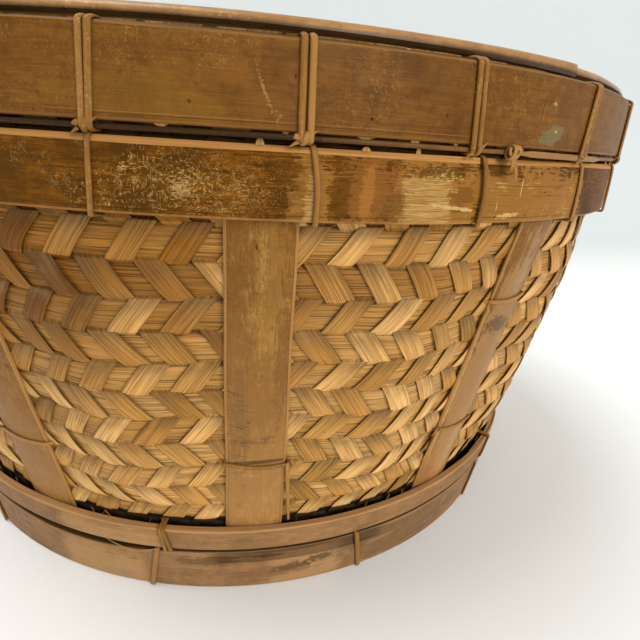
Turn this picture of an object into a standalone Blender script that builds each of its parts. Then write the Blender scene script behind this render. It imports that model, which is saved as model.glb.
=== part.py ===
"""Round open splint basket: a woven wall and floor held by bent bamboo hoops, staves and cane.

Lengths are in metres, +Z is up, the origin is the middle of the ground ring and the first
stave faces -Y. An angle turns from -Y towards +X.
"""
import math

import bmesh
import bpy
from mathutils import Euler, Vector

# Fit between pieces that touch
clearance = 0.0003

# Woven splints
wall_thickness = 0.0024
floor_thickness = 0.0024
wall_flange = 0.014
wall_step = 0.0022
band_seat_radius = 0.3024
rim_step_out = 0.0036
foot_radius = 0.2608
foot_flare = 0.16
panel_bulge = 0.0075
bulge_margin = 0.0040

# Heights of what the outside shows, from the ground up
lower_foot_hoop_height = 0.0362
upper_foot_hoop_height = 0.0180
open_wall_height = 0.1987
lower_band_height = 0.0296
upper_band_height = 0.0325
rim_strip_height = 0.0057

# Split bamboo hoops
foot_hoop_thickness = 0.0050
lower_band_thickness = 0.0046
upper_band_thickness = 0.0064
inner_band_thickness = 0.0045
rim_strip_width = 0.0090
lap_steps = 3
lap_tip_share = 0.15
lap_heel_share = 0.80

# Staves
stave_count = 12
stave_thickness = 0.0032
stave_top_width = 0.0315
stave_foot_width = 0.0365
stave_overlap = 0.0180
stave_edge_share = 0.38
stave_shoulder_share = 0.82
stave_shoulder_place = 0.28
node_height = 0.200
node_swell = 0.0005
node_length = 0.0080

# Slats under the floor
slat_thickness = 0.0040
slat_width = 0.0260
slat_offset = 0.0700
slat_ground_gap = 0.0030

# Cane; where one cane passes over another they bite together
lash_width = 0.0031
lash_thickness = 0.0016
runner_diameter = 0.0023
cane_bite = 0.0003
carried_width = 0.0024
carried_thickness = 0.0012
upper_lash_phase = 2.6
lower_lash_phase = 3.8
foot_lash_phase = -14.7
upper_foot_lash_phase = -12.3
lash_end_height = 0.0012
lower_tie_height = 0.110
upper_tie_height = 0.207
tie_width = 0.0024
knot_angle = 21.0
knot_width = 0.0080
knot_height = 0.0056
knot_depth = 0.0040
knot_tail_length = 0.0085
knot_tail_radius = 0.0009

# Bevels on the split edges: how far down the face, and how deep
soft_edge = (0.0012, 0.0009)
cut_edge = (0.0028, 0.0016)

# Worked out from the sizes above
rim_radius = band_seat_radius + rim_step_out
segments = 5 * stave_count
facet = math.cos(math.pi / segments)
step = 360.0 / segments
half_cane = lash_thickness / 2
foot_slit = lash_thickness + 2 * clearance
band_gap = lash_thickness + runner_diameter + 3 * clearance
upper_foot_bottom = lower_foot_hoop_height + foot_slit
foot_top = upper_foot_bottom + upper_foot_hoop_height
lower_band_bottom = foot_top + open_wall_height
lower_band_top = lower_band_bottom + lower_band_height
upper_band_bottom = lower_band_top + band_gap
upper_band_top = upper_band_bottom + upper_band_height
rim_strip_bottom = upper_band_top + lash_thickness + 2 * clearance
stave_top = lower_band_bottom + stave_overlap
wall_bottom = slat_ground_gap + 2 * (slat_thickness + clearance)
stave_slope = (stave_foot_width - stave_top_width) / (stave_top - wall_bottom)
seat = 2 * clearance + stave_thickness
bulge_low = foot_top + 2 * clearance + lash_thickness + bulge_margin
bulge_high = lower_band_bottom - 2 * clearance - lash_thickness - bulge_margin

straw = (0.52, 0.33, 0.13)
tan_skin = (0.30, 0.16, 0.055)
red_skin = (0.33, 0.16, 0.05)
foot_skin = (0.36, 0.21, 0.09)
stave_skin = (0.37, 0.21, 0.08)
cane_brown = (0.26, 0.14, 0.05)
pale_strip = (0.55, 0.34, 0.12)


def wall_radius(z):
    """Outer face of the wall at a stave: a foot cone, a wider cone, then upright in two steps."""
    if z <= foot_top:
        return foot_radius - foot_flare * (foot_top - z)
    if z <= lower_band_bottom:
        share = (z - foot_top) / (lower_band_bottom - foot_top)
        return foot_radius + share * (band_seat_radius - foot_radius)
    start = lower_band_top - wall_step
    share = min(max((z - start) / (upper_band_bottom - start), 0.0), 1.0)
    return band_seat_radius + share * (rim_radius - band_seat_radius)


def wall_inside(z):
    """Nearest that the faceted inner face of the wall comes to the axis."""
    return (wall_radius(z) - wall_thickness * math.hypot(1.0, foot_flare)) * facet


def outside(z):
    """Radius at which a cane lying on edge at this height stops short of the wall's outside."""
    return max(wall_radius(z - half_cane), wall_radius(z + half_cane)) + clearance


def inside(z):
    """The same on the wall's inside, where the step needs a little more room."""
    return min(wall_inside(z - lash_thickness), wall_inside(z + lash_thickness)) - clearance


def bulge(angle, z):
    """How far the weave stands out between two staves: nothing at a stave and at the hoops."""
    if not bulge_low < z < bulge_high:
        return 0.0
    pitch = 360.0 / stave_count
    off = abs((angle + pitch / 2) % pitch - pitch / 2)
    edge = math.degrees(stave_foot_width / 2 / wall_radius(z))
    across = min(max((off - edge) / (pitch / 2 - edge), 0.0), 1.0)
    up = (z - bulge_low) / (bulge_high - bulge_low)
    return panel_bulge * math.sin(math.pi / 2 * across) ** 2 * (1 - (2 * up - 1) ** 4)


def stave_width(z):
    """A stave is the butt of a split culm, so it widens evenly towards the foot."""
    return stave_top_width + stave_slope * (stave_top - z)


def place(radius, along, angle, z):
    """World point at a radius, moved along the tangent, at an angle turned from -Y to +X."""
    turn = math.radians(angle)
    x = radius * math.sin(turn) + along * math.cos(turn)
    y = -radius * math.cos(turn) + along * math.sin(turn)
    return Vector((x, y, z))


def material(name, colour, roughness):
    """Plain wood finish with one colour."""
    finish = bpy.data.materials.new(name)
    finish.use_nodes = True
    shader = finish.node_tree.nodes["Principled BSDF"]
    shader.inputs["Base Color"].default_value = (*colour, 1.0)
    shader.inputs["Roughness"].default_value = roughness
    shader.inputs["Metallic"].default_value = 0.0
    finish.diffuse_color = (*colour, 1.0)
    return finish


def finish_object(name, mesh, colour, roughness=0.55):
    """Object for a finished mesh, smooth shaded, with its own material, in the parts collection."""
    mesh.shade_smooth()
    mesh.set_sharp_from_angle(angle=math.radians(35))
    mesh.materials.append(material(name + "_finish", colour, roughness))
    part = bpy.data.objects.new(name, mesh)
    parts.objects.link(part)
    return part


def mesh_of(shape, name):
    """Mesh of a bmesh, which is freed."""
    mesh = bpy.data.meshes.new(name)
    shape.to_mesh(mesh)
    shape.free()
    return mesh


def loft(name, groups):
    """Closed solids, each through sections that hold the same number of points in order."""
    shape = bmesh.new()
    for sections in groups:
        rings = [[shape.verts.new(point) for point in section] for section in sections]
        for near, far in zip(rings, rings[1:]):
            for k in range(len(near)):
                after = (k + 1) % len(near)
                shape.faces.new((near[k], near[after], far[after], far[k]))
        shape.faces.new(rings[0])
        shape.faces.new(rings[-1])
    bmesh.ops.recalc_face_normals(shape, faces=shape.faces)
    return mesh_of(shape, name)


def turned_ring(name, section):
    """Closed section of (radius, height) points turned once round the axis."""
    shape = bmesh.new()
    points = [shape.verts.new((0.0, -r, z)) for r, z in section]
    edges = [shape.edges.new((points[k - 1], points[k])) for k in range(len(points))]
    bmesh.ops.spin(shape, geom=points + edges, cent=(0, 0, 0), axis=(0, 0, 1),
                   angle=2 * math.pi, steps=segments, use_merge=True)
    bmesh.ops.remove_doubles(shape, verts=shape.verts, dist=0.00001)
    bmesh.ops.recalc_face_normals(shape, faces=shape.faces)
    return mesh_of(shape, name)


def union_with(part, name, mesh, count=1, first_angle=0.0):
    """Join a mesh to a part, with its copies round the axis if there are several."""
    piece = bpy.data.objects.new(name, mesh)
    piece.rotation_euler = (0.0, 0.0, math.radians(first_angle))
    piece.hide_render = True
    piece.display_type = "WIRE"
    cutters.objects.link(piece)
    if count > 1:
        turner = bpy.data.objects.new(name + "_turner", None)
        turner.rotation_euler = (0.0, 0.0, math.radians(first_angle) + 2 * math.pi / count)
        cutters.objects.link(turner)
        ring = piece.modifiers.new("round", "ARRAY")
        ring.count = count
        ring.use_relative_offset = False
        ring.use_object_offset = True
        ring.offset_object = turner
    join = part.modifiers.new(name, "BOOLEAN")
    join.operation = "UNION"
    join.solver = "EXACT"
    join.object = piece


def woven_wall():
    """Turned profile with a narrow flange under the floor, pushed out between the staves."""
    heights = [wall_bottom, foot_top, bulge_low]
    heights += [bulge_low + share * (bulge_high - bulge_low) for share in (0.12, 0.37, 0.63, 0.88)]
    heights += [bulge_high, lower_band_bottom, lower_band_top - wall_step]
    heights += [upper_band_bottom, upper_band_top]
    profile = [(wall_radius(wall_bottom) - wall_flange, wall_bottom)]
    profile += [(wall_radius(z), z) for z in heights]
    shape = bmesh.new()
    points = [shape.verts.new((0.0, -r, z)) for r, z in profile]
    edges = [shape.edges.new(pair) for pair in zip(points, points[1:])]
    bmesh.ops.spin(shape, geom=points + edges, cent=(0, 0, 0), axis=(0, 0, 1),
                   angle=2 * math.pi, steps=segments, use_merge=True)
    bmesh.ops.remove_doubles(shape, verts=shape.verts, dist=0.00001)
    for vert in shape.verts:
        angle = math.degrees(math.atan2(vert.co.x, -vert.co.y))
        out = bulge(angle, vert.co.z) / math.hypot(vert.co.x, vert.co.y)
        vert.co.x *= 1 + out
        vert.co.y *= 1 + out
    bmesh.ops.recalc_face_normals(shape, faces=shape.faces)
    upright = max(shape.faces, key=lambda face: face.calc_center_median().z)
    centre = upright.calc_center_median()
    if upright.normal.x * centre.x + upright.normal.y * centre.y < 0:
        bmesh.ops.reverse_faces(shape, faces=shape.faces)
    part = finish_object("woven_wall", mesh_of(shape, "woven_wall"), straw, 0.6)
    skin = part.modifiers.new("splint layers", "SOLIDIFY")
    skin.thickness = wall_thickness
    skin.offset = -1.0
    skin.use_even_offset = True


def woven_floor():
    """Flat disc that lies on the wall's flange, its corners in line with the wall's."""
    bottom = wall_bottom + wall_thickness + clearance
    radius = wall_inside(bottom) / facet - clearance
    shape = bmesh.new()
    bmesh.ops.create_cone(shape, cap_ends=True, segments=segments, radius1=radius,
                          radius2=radius, depth=floor_thickness)
    corner = max(shape.verts, key=lambda vert: vert.co.x)
    angle = math.degrees(math.atan2(corner.co.x, -corner.co.y))
    turn = round(angle / step) * step - angle
    part = finish_object("woven_floor", mesh_of(shape, "woven_floor"), straw, 0.6)
    part.location.z = bottom + floor_thickness / 2
    part.rotation_euler.z = math.radians(turn)


def strip_section(inner, outer, bottom, top, cone, low_edge, high_edge):
    """Split bamboo strip on edge: radius and height of its corners, bevelled on the skin side."""
    def lean(z):
        return cone * (z - bottom)

    deep_low = min(low_edge[1], (outer - inner) / 2)
    deep_high = min(high_edge[1], (outer - inner) / 2)
    return [(inner + lean(bottom), bottom), (outer - deep_low + lean(bottom), bottom),
            (outer + lean(bottom + low_edge[0]), bottom + low_edge[0]),
            (outer + lean(top - high_edge[0]), top - high_edge[0]),
            (outer - deep_high + lean(top), top), (inner + lean(top), top)]


def lapped(low, high, k):
    """Bounds of a strip at step k: its start tapers on the near side, its tail on the far side."""
    if k <= lap_steps:
        share = lap_tip_share + (lap_heel_share - lap_tip_share) * k / lap_steps
        return low, low + (high - low) * share
    if k >= segments:
        share = lap_tip_share + (lap_heel_share - lap_tip_share) * (k - segments) / lap_steps
        return low + (high - low) * share + clearance, high
    return low, high


def hoop(name, inner, thickness, bottom, top, lap_angle, colour, cone=0.0,
         low_edge=soft_edge, high_edge=soft_edge, skin_inside=False):
    """Strip bent once round, its tapered ends lapped: the tail lies over the start."""
    start = round(lap_angle / step)
    sections = []
    for k in range(segments + lap_steps + 1):
        low, high = lapped(inner, inner + thickness, k)
        corners = strip_section(low, high, bottom, top, cone, low_edge, high_edge)
        if skin_inside:
            corners = [(low + high - r, z) for r, z in corners]
        sections.append([place(r, 0.0, (start + k) * step, z) for r, z in corners])
    finish_object(name, loft(name, [sections]), colour)


def rim_strip():
    """Half round strip laid on the lashings over the wall's edge, ends lapped side by side."""
    middle = (rim_radius + inner_band_face) / 2
    start = round(12.0 / step)
    top = rim_strip_bottom + rim_strip_height
    sections = []
    for k in range(segments + lap_steps + 1):
        low, high = lapped(middle - rim_strip_width / 2, middle + rim_strip_width / 2, k)
        wide = high - low
        corners = [(low + 0.15 * wide, rim_strip_bottom), (high - 0.15 * wide, rim_strip_bottom),
                   (high, rim_strip_bottom + 0.3 * rim_strip_height),
                   (high - 0.06 * wide, rim_strip_bottom + 0.75 * rim_strip_height),
                   (high - 0.3 * wide, top), (low + 0.3 * wide, top),
                   (low, rim_strip_bottom + 0.5 * rim_strip_height)]
        sections.append([place(r, 0.0, (start + k) * step, z) for r, z in corners])
    finish_object("rim_strip", loft("rim_strip", [sections]), pale_strip, 0.45)


def split_section(width, thickness):
    """Cross-section of a split culm: flat inside, crowned skin outside, as (along, out) points."""
    half = width / 2
    shoulder = stave_shoulder_place * width
    return [(-half, 0.0), (half, 0.0), (half, stave_edge_share * thickness),
            (shoulder, stave_shoulder_share * thickness), (0.0, thickness),
            (-shoulder, stave_shoulder_share * thickness), (-half, stave_edge_share * thickness)]


def stave(index):
    """One upright, from under the wall's edge to behind the lower band; every second has a node."""
    angle = index * 360.0 / stave_count
    heights = [(wall_bottom, 0.0), (foot_top, 0.0)]
    if index % 2:
        heights += [(node_height - node_length / 2, 0.0), (node_height, node_swell),
                    (node_height + node_length / 2, 0.0)]
    heights += [(lower_band_bottom, 0.0), (stave_top, 0.0)]
    sections = []
    for z, swell in heights:
        section = split_section(stave_width(z) + 2 * swell, stave_thickness + swell)
        base = wall_radius(z) + clearance
        sections.append([place(base + out, along, angle, z) for along, out in section])
    name = "stave_%02d" % (index + 1)
    finish_object(name, loft(name, [sections]), stave_skin)


def floor_slat(index):
    """Split slat under the floor, its ends lodged inside the lower foot hoop."""
    side = -1 if index % 2 else 1
    upper = index >= 2
    base = slat_ground_gap + (slat_thickness + clearance if upper else 0.0)
    reach = wall_radius(base) + seat - clearance
    half_length = math.sqrt(reach ** 2 - (slat_offset + slat_width / 2) ** 2)
    sections = []
    for end in (-half_length, half_length):
        points = [(along + side * slat_offset, end, base + slat_thickness - out)
                  for along, out in split_section(slat_width, slat_thickness)]
        sections.append([Vector((y, x, z)) if upper else Vector((x, y, z)) for x, y, z in points])
    name = "floor_slat_%d" % (index + 1)
    finish_object(name, loft(name, [sections]), stave_skin)


def ribbon(path, thickness):
    """Outline of a flat strip bent along a path of corners: both sides, mitred at each corner."""
    points = [Vector(corner) for corner in path]
    left, right = [], []
    for k, point in enumerate(points):
        before = (point - points[k - 1]).normalized() if k else None
        after = (points[k + 1] - point).normalized() if k + 1 < len(points) else None
        one = before or after
        two = after or before
        side = (Vector((-one.y, one.x)) + Vector((-two.y, two.x))).normalized()
        reach = thickness / 2 / side.dot(Vector((-one.y, one.x)))
        left.append(point + side * reach)
        right.append(point - side * reach)
    return left + right[::-1]


def strand(path, shift=0.0):
    """Sections of a flat cane that bends in the plane of the axis, on either side of its middle."""
    outline = ribbon(path, lash_thickness)
    return [[place(r, shift + side * lash_width / 2, 0.0, z) for r, z in outline]
            for side in (-1, 1)]


def rim_lacing():
    """Runner carried in the gap, twice over the upper bands and once round the lower band."""
    runner = runner_diameter / 2
    middle = upper_band_outer + clearance + cane_bite - runner
    height = lower_band_top + clearance + lash_thickness - cane_bite + runner
    section = [(middle + runner * math.cos(math.radians(turn)),
                height + runner * math.sin(math.radians(turn))) for turn in range(30, 390, 60)]
    part = finish_object("rim_lacing", turned_ring("rim_lacing", section), cane_brown)
    inner_face = inner_band_face * facet - clearance - half_cane
    outer_face = upper_band_outer + clearance + half_cane
    under_inner = upper_band_bottom - clearance - half_cane
    over = upper_band_top + clearance + half_cane
    hook = lower_band_top + clearance + half_cane
    path = [(inside(under_inner), under_inner), (inner_face, under_inner), (inner_face, over),
            (outer_face, over), (outer_face, hook), (outside(hook), hook)]
    apart = (lash_width + clearance) / 2
    union_with(part, "upper_strands", loft("upper_strands", [strand(path, -apart), strand(path, apart)]),
               2 * stave_count, upper_lash_phase)
    under = lower_band_bottom - clearance - half_cane
    face = lower_band_outer + clearance + half_cane
    path = [(outside(under), under), (face, under), (face, hook), (outside(hook), hook)]
    union_with(part, "lower_strands", loft("lower_strands", [strand(path)]),
               2 * stave_count, lower_lash_phase)


def inner_rim_lacing():
    """The same cane inside: once round the inner lower band, and carried along its top edge."""
    under = lower_band_bottom - clearance - half_cane
    over = lower_band_top + clearance + half_cane
    face = lower_inner_face * facet - clearance - half_cane
    middle = lower_inner_face + inner_band_thickness / 2
    section = [(middle + side * carried_width / 2, over + up * carried_thickness / 2)
               for side, up in ((-1, -1), (1, -1), (1, 1), (-1, 1))]
    part = finish_object("inner_rim_lacing", turned_ring("inner_rim_lacing", section), cane_brown)
    path = [(inside(under), under), (face, under), (face, over), (inside(over), over)]
    union_with(part, "inner_strands", loft("inner_strands", [strand(path)]),
               2 * stave_count, lower_lash_phase)


def foot_lacing():
    """Cane carried in the slit between the foot hoops, with turns down and up over them."""
    slit = lower_foot_hoop_height + clearance + half_cane
    over = foot_top + clearance + half_cane

    def face(z):
        return hoop_seat(z) + foot_hoop_thickness + clearance + half_cane

    middle = hoop_seat(slit) + foot_hoop_thickness / 2
    section = [(middle + side * carried_width / 2, slit + up * carried_thickness / 2)
               for side, up in ((-1, -1), (1, -1), (1, 1), (-1, 1))]
    part = finish_object("foot_lacing", turned_ring("foot_lacing", section), cane_brown)
    start = (hoop_seat(slit) + clearance, slit)
    down = [start, (face(slit), slit), (face(lash_end_height), lash_end_height)]
    up = [start, (face(slit), slit), (face(over), over), (outside(over), over)]
    union_with(part, "foot_strands", loft("foot_strands", [strand(down)]),
               stave_count, foot_lash_phase)
    union_with(part, "upper_foot_strands", loft("upper_foot_strands", [strand(up)]),
               stave_count // 2, upper_foot_lash_phase)


def stave_tie(name, height, index):
    """Thin cane across the face of a stave, bent down both its edges."""
    lift = clearance + half_cane
    half = stave_width(height) / 2
    edge = stave_edge_share * stave_thickness + lift
    shoulder = stave_shoulder_place * 2 * half
    bend = stave_shoulder_share * stave_thickness + lift
    crown = [(half + lift, 0.0), (half + lift, edge), (shoulder, bend), (0.0, stave_thickness + lift),
             (-shoulder, bend), (-half - lift, edge), (-half - lift, 0.0)]
    outline = ribbon(crown, lash_thickness)
    angle = index * 360.0 / stave_count
    sections = []
    for z in (height - tie_width / 2, height + tie_width / 2):
        base = wall_radius(z) + clearance
        sections.append([place(base + out, along, angle, z) for along, out in outline])
    finish_object(name, loft(name, [sections]), cane_brown)


def lacing_knot():
    """Flat lump tied on the front of the runner, with two pointed tails over the lower band."""
    front = upper_band_outer + clearance + cane_bite
    radius = front + clearance + knot_depth / 2
    height = lower_band_top + clearance + lash_thickness - cane_bite + runner_diameter / 2
    shape = bmesh.new()
    bmesh.ops.create_uvsphere(shape, u_segments=8, v_segments=6, radius=0.5)
    bmesh.ops.scale(shape, verts=shape.verts, vec=(knot_width, knot_depth, knot_height))
    part = finish_object("lacing_knot", mesh_of(shape, "lacing_knot"), cane_brown)
    part.location = place(radius, 0.0, knot_angle, height)
    part.rotation_euler = (0.0, 0.0, math.radians(knot_angle))
    for side in (-1, 1):
        shape = bmesh.new()
        bmesh.ops.create_cone(shape, cap_ends=True, segments=6, radius1=knot_tail_radius / 3,
                              radius2=knot_tail_radius, depth=knot_tail_length)
        bmesh.ops.translate(shape, verts=shape.verts, vec=(0, 0, -knot_tail_length / 2))
        bmesh.ops.rotate(shape, verts=shape.verts, cent=(0, 0, 0),
                         matrix=Euler((0.0, side * 0.16, 0.0)).to_matrix())
        bmesh.ops.rotate(shape, verts=shape.verts, cent=(0, 0, 0),
                         matrix=Euler((0.0, 0.0, math.radians(knot_angle))).to_matrix())
        root = place(radius, -side * 0.2 * knot_width, knot_angle, height)
        bmesh.ops.translate(shape, verts=shape.verts, vec=root)
        name = "knot_tail_%d" % (1 if side < 0 else 2)
        union_with(part, name, mesh_of(shape, name))


def hoop_seat(z):
    """Radius of a foot hoop's inner corners, clear of the staves that it holds."""
    return (wall_radius(z) + seat) / facet


for old in list(bpy.data.objects):
    bpy.data.objects.remove(old, do_unlink=True)
parts = bpy.data.collections.new("splint_basket")
cutters = bpy.data.collections.new("joined_shapes")
bpy.context.scene.collection.children.link(parts)
bpy.context.scene.collection.children.link(cutters)

lower_band_inner = hoop_seat(lower_band_bottom)
lower_band_outer = lower_band_inner + lower_band_thickness
upper_band_inner = rim_radius + clearance
upper_band_outer = upper_band_inner + upper_band_thickness
inner_band_face = wall_inside(upper_band_top) / facet - clearance - inner_band_thickness
lower_inner_face = wall_inside(lower_band_bottom) / facet - clearance - inner_band_thickness

woven_wall()
woven_floor()
hoop("upper_rim_band", upper_band_inner, upper_band_thickness, upper_band_bottom, upper_band_top,
     96.0, tan_skin)
hoop("lower_rim_band", lower_band_inner, lower_band_thickness, lower_band_bottom, lower_band_top,
     0.0, red_skin, high_edge=cut_edge)
hoop("inner_upper_band", inner_band_face, inner_band_thickness, upper_band_bottom,
     upper_band_top, 210.0, tan_skin, skin_inside=True)
hoop("inner_lower_band", lower_inner_face, inner_band_thickness, lower_band_bottom,
     lower_band_top, 300.0, red_skin, skin_inside=True)
hoop("lower_foot_hoop", hoop_seat(0.0), foot_hoop_thickness, 0.0, lower_foot_hoop_height,
     150.0, foot_skin, cone=foot_flare / facet)
hoop("upper_foot_hoop", hoop_seat(upper_foot_bottom), foot_hoop_thickness, upper_foot_bottom,
     foot_top, 42.0, foot_skin, cone=foot_flare / facet)
rim_strip()
for number in range(stave_count):
    stave(number)
for number in range(4):
    floor_slat(number)
rim_lacing()
inner_rim_lacing()
foot_lacing()
lacing_knot()
for number in range(stave_count):
    stave_tie("stave_tie_%02d" % (number + 1), lower_tie_height, number)
for number in range(1, stave_count, 2):
    stave_tie("node_tie_%02d" % (number + 1), upper_tie_height, number)
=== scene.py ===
"""Looks for the splint basket: woven splints, split bamboo hoops and staves, cane lacing."""
import math

import bpy
import numpy as np
from mathutils import Matrix, Vector


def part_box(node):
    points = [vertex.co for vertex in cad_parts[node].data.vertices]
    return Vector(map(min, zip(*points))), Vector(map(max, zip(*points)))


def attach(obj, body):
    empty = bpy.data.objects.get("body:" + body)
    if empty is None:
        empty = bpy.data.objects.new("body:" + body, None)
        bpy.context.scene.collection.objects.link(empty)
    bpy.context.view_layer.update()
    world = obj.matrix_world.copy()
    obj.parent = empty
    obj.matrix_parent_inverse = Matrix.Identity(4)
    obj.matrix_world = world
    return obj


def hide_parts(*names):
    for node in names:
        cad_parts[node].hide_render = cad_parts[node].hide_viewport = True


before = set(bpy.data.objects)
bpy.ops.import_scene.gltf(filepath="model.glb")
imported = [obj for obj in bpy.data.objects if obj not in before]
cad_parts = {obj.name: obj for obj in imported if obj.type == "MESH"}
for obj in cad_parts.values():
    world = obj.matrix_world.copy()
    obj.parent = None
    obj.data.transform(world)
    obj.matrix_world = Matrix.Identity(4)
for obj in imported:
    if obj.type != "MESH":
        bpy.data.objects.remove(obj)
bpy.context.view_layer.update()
rng = np.random.default_rng(11)

# Counts, lengths in metres and turns in degrees that the solids have too. FLARE is a slope, and LAP
# is how far the ends of a bent strip lap
MM = 0.001
STAVES, LASHINGS = 12, 24
BAY, LASH_STEP = 360 / STAVES, 360 / LASHINGS
CANE, CANE_WIDE = 1.6 * MM, 3.1 * MM
HALF = CANE / 2
GAP = 0.3 * MM
FOOT_R, BAND_R, RIM_R, FLARE = 0.2608, 0.3024, 0.3060, 0.16
WALL_THICK, WALL_STEP = 2.4 * MM, 2.2 * MM
SWELL, SWELL_MARGIN = 7.5 * MM, 6.2 * MM
STAVE_WIDE, STAVE_SPREAD, STAVE_THICK = 31.5 * MM, 5.0 * MM, 3.2 * MM
SEAT = 2 * GAP + STAVE_THICK
TIE_Z, NODE_Z, NODE_TIE_Z = 0.110, 0.200, 0.207
UPPER_THICK, LOWER_THICK, INNER_THICK, FOOT_THICK, CAP_WIDE = (v * MM for v in (6.4, 4.6, 4.5, 5.0, 9.0))
LAP = 18.0

# The solids' rings have 60 flat sides, whose middles stand in by this factor
FACET = math.cos(math.radians(3))


def span(node):
    """Bottom, top and highest X of a node, which is the outer radius of a ring."""
    low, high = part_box(node)
    return low.z, high.z, high.x


lower_foot = span("lower_foot_hoop")
upper_foot = span("upper_foot_hoop")
lower_band = span("lower_rim_band")
upper_band = span("upper_rim_band")
strip_low, strip_high = span("rim_strip")[:2]
wall_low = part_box("woven_wall")[0].z
stave_top = span("stave_01")[1]
foot_top, wall_top = upper_foot[1], upper_band[1]


def wall_radius(z):
    """Outer face of the wall at a stave, for an array of heights: a flared foot, a cone from there
    to the lower rim band, and a step out between the rim bands."""
    z = np.asarray(z, float)
    foot = FOOT_R - FLARE * (foot_top - z)
    share = (z - foot_top) / (lower_band[0] - foot_top)
    cone = FOOT_R + share * (BAND_R - FOOT_R)
    start = lower_band[1] - WALL_STEP
    step = np.clip((z - start) / (upper_band[0] - start), 0, 1)
    rim = BAND_R + step * (RIM_R - BAND_R)
    return np.where(z <= foot_top, foot, np.where(z <= lower_band[0], cone, rim))


def stave_wide(z, top=stave_top):
    """Width of a stave, which spreads evenly from its top to the foot of the wall."""
    return STAVE_WIDE + STAVE_SPREAD * (top - z) / (top - wall_low)


def bulge(angle, z):
    """Outward swell of the weave between staves, the same rule as the solid's: a squared sine
    across the bay, times one less the fourth power of how far the height is from the middle."""
    low, high = foot_top + SWELL_MARGIN, lower_band[0] - SWELL_MARGIN
    off = np.abs((angle + BAY / 2) % BAY - BAY / 2)
    edge = np.degrees(stave_wide(wall_low) / 2 / wall_radius(z))
    over = np.clip((off - edge) / (BAY / 2 - edge), 0, 1)
    up = np.clip((z - low) / (high - low), 0, 1)
    return SWELL * np.sin(np.pi / 2 * over) ** 2 * (1 - (2 * up - 1) ** 4)


def turn_in(radius, angle, z):
    """World points from radius, angle in degrees from -Y towards +X, and height."""
    a = np.radians(angle)
    return np.stack([radius * np.sin(a), -radius * np.cos(a), z + 0 * a], axis=-1)


def beside(radius, along, angle, z):
    """World points at a radius, moved along the tangent at one angle."""
    a = math.radians(angle)
    return np.stack([radius * math.sin(a) + along * math.cos(a),
                     -radius * math.cos(a) + along * math.sin(a), z + 0 * radius], axis=-1)


def across(angle):
    """Direction round the basket at an angle."""
    a = np.radians(angle)
    return np.stack([np.cos(a), np.sin(a), 0 * a], axis=-1)


# Materials. Blender's noise lies mostly between 0.3 and 0.7, so most smooth steps over a noise start
# and end there. Grains are in mm, and the place of a noise only tells it from the others. Bamboo's
# own fibres are too fine for the render, so the finest here are drawn about half a mm apart. MIX_GAP
# skips the inputs of a Mix node between its factor and its colours
SPECK = "#2e1a0a"
SMOOTH = {"interpolation_type": "SMOOTHSTEP"}
MIX_GAP = [None] * 5


def linear(colour):
    """Linear values of a hex sRGB colour."""
    channels = [int(colour[k:k + 2], 16) / 255 for k in (1, 3, 5)]
    return [c / 12.92 if c <= 0.04045 else ((c + 0.055) / 1.055) ** 2.4 for c in channels] + [1.0]


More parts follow.
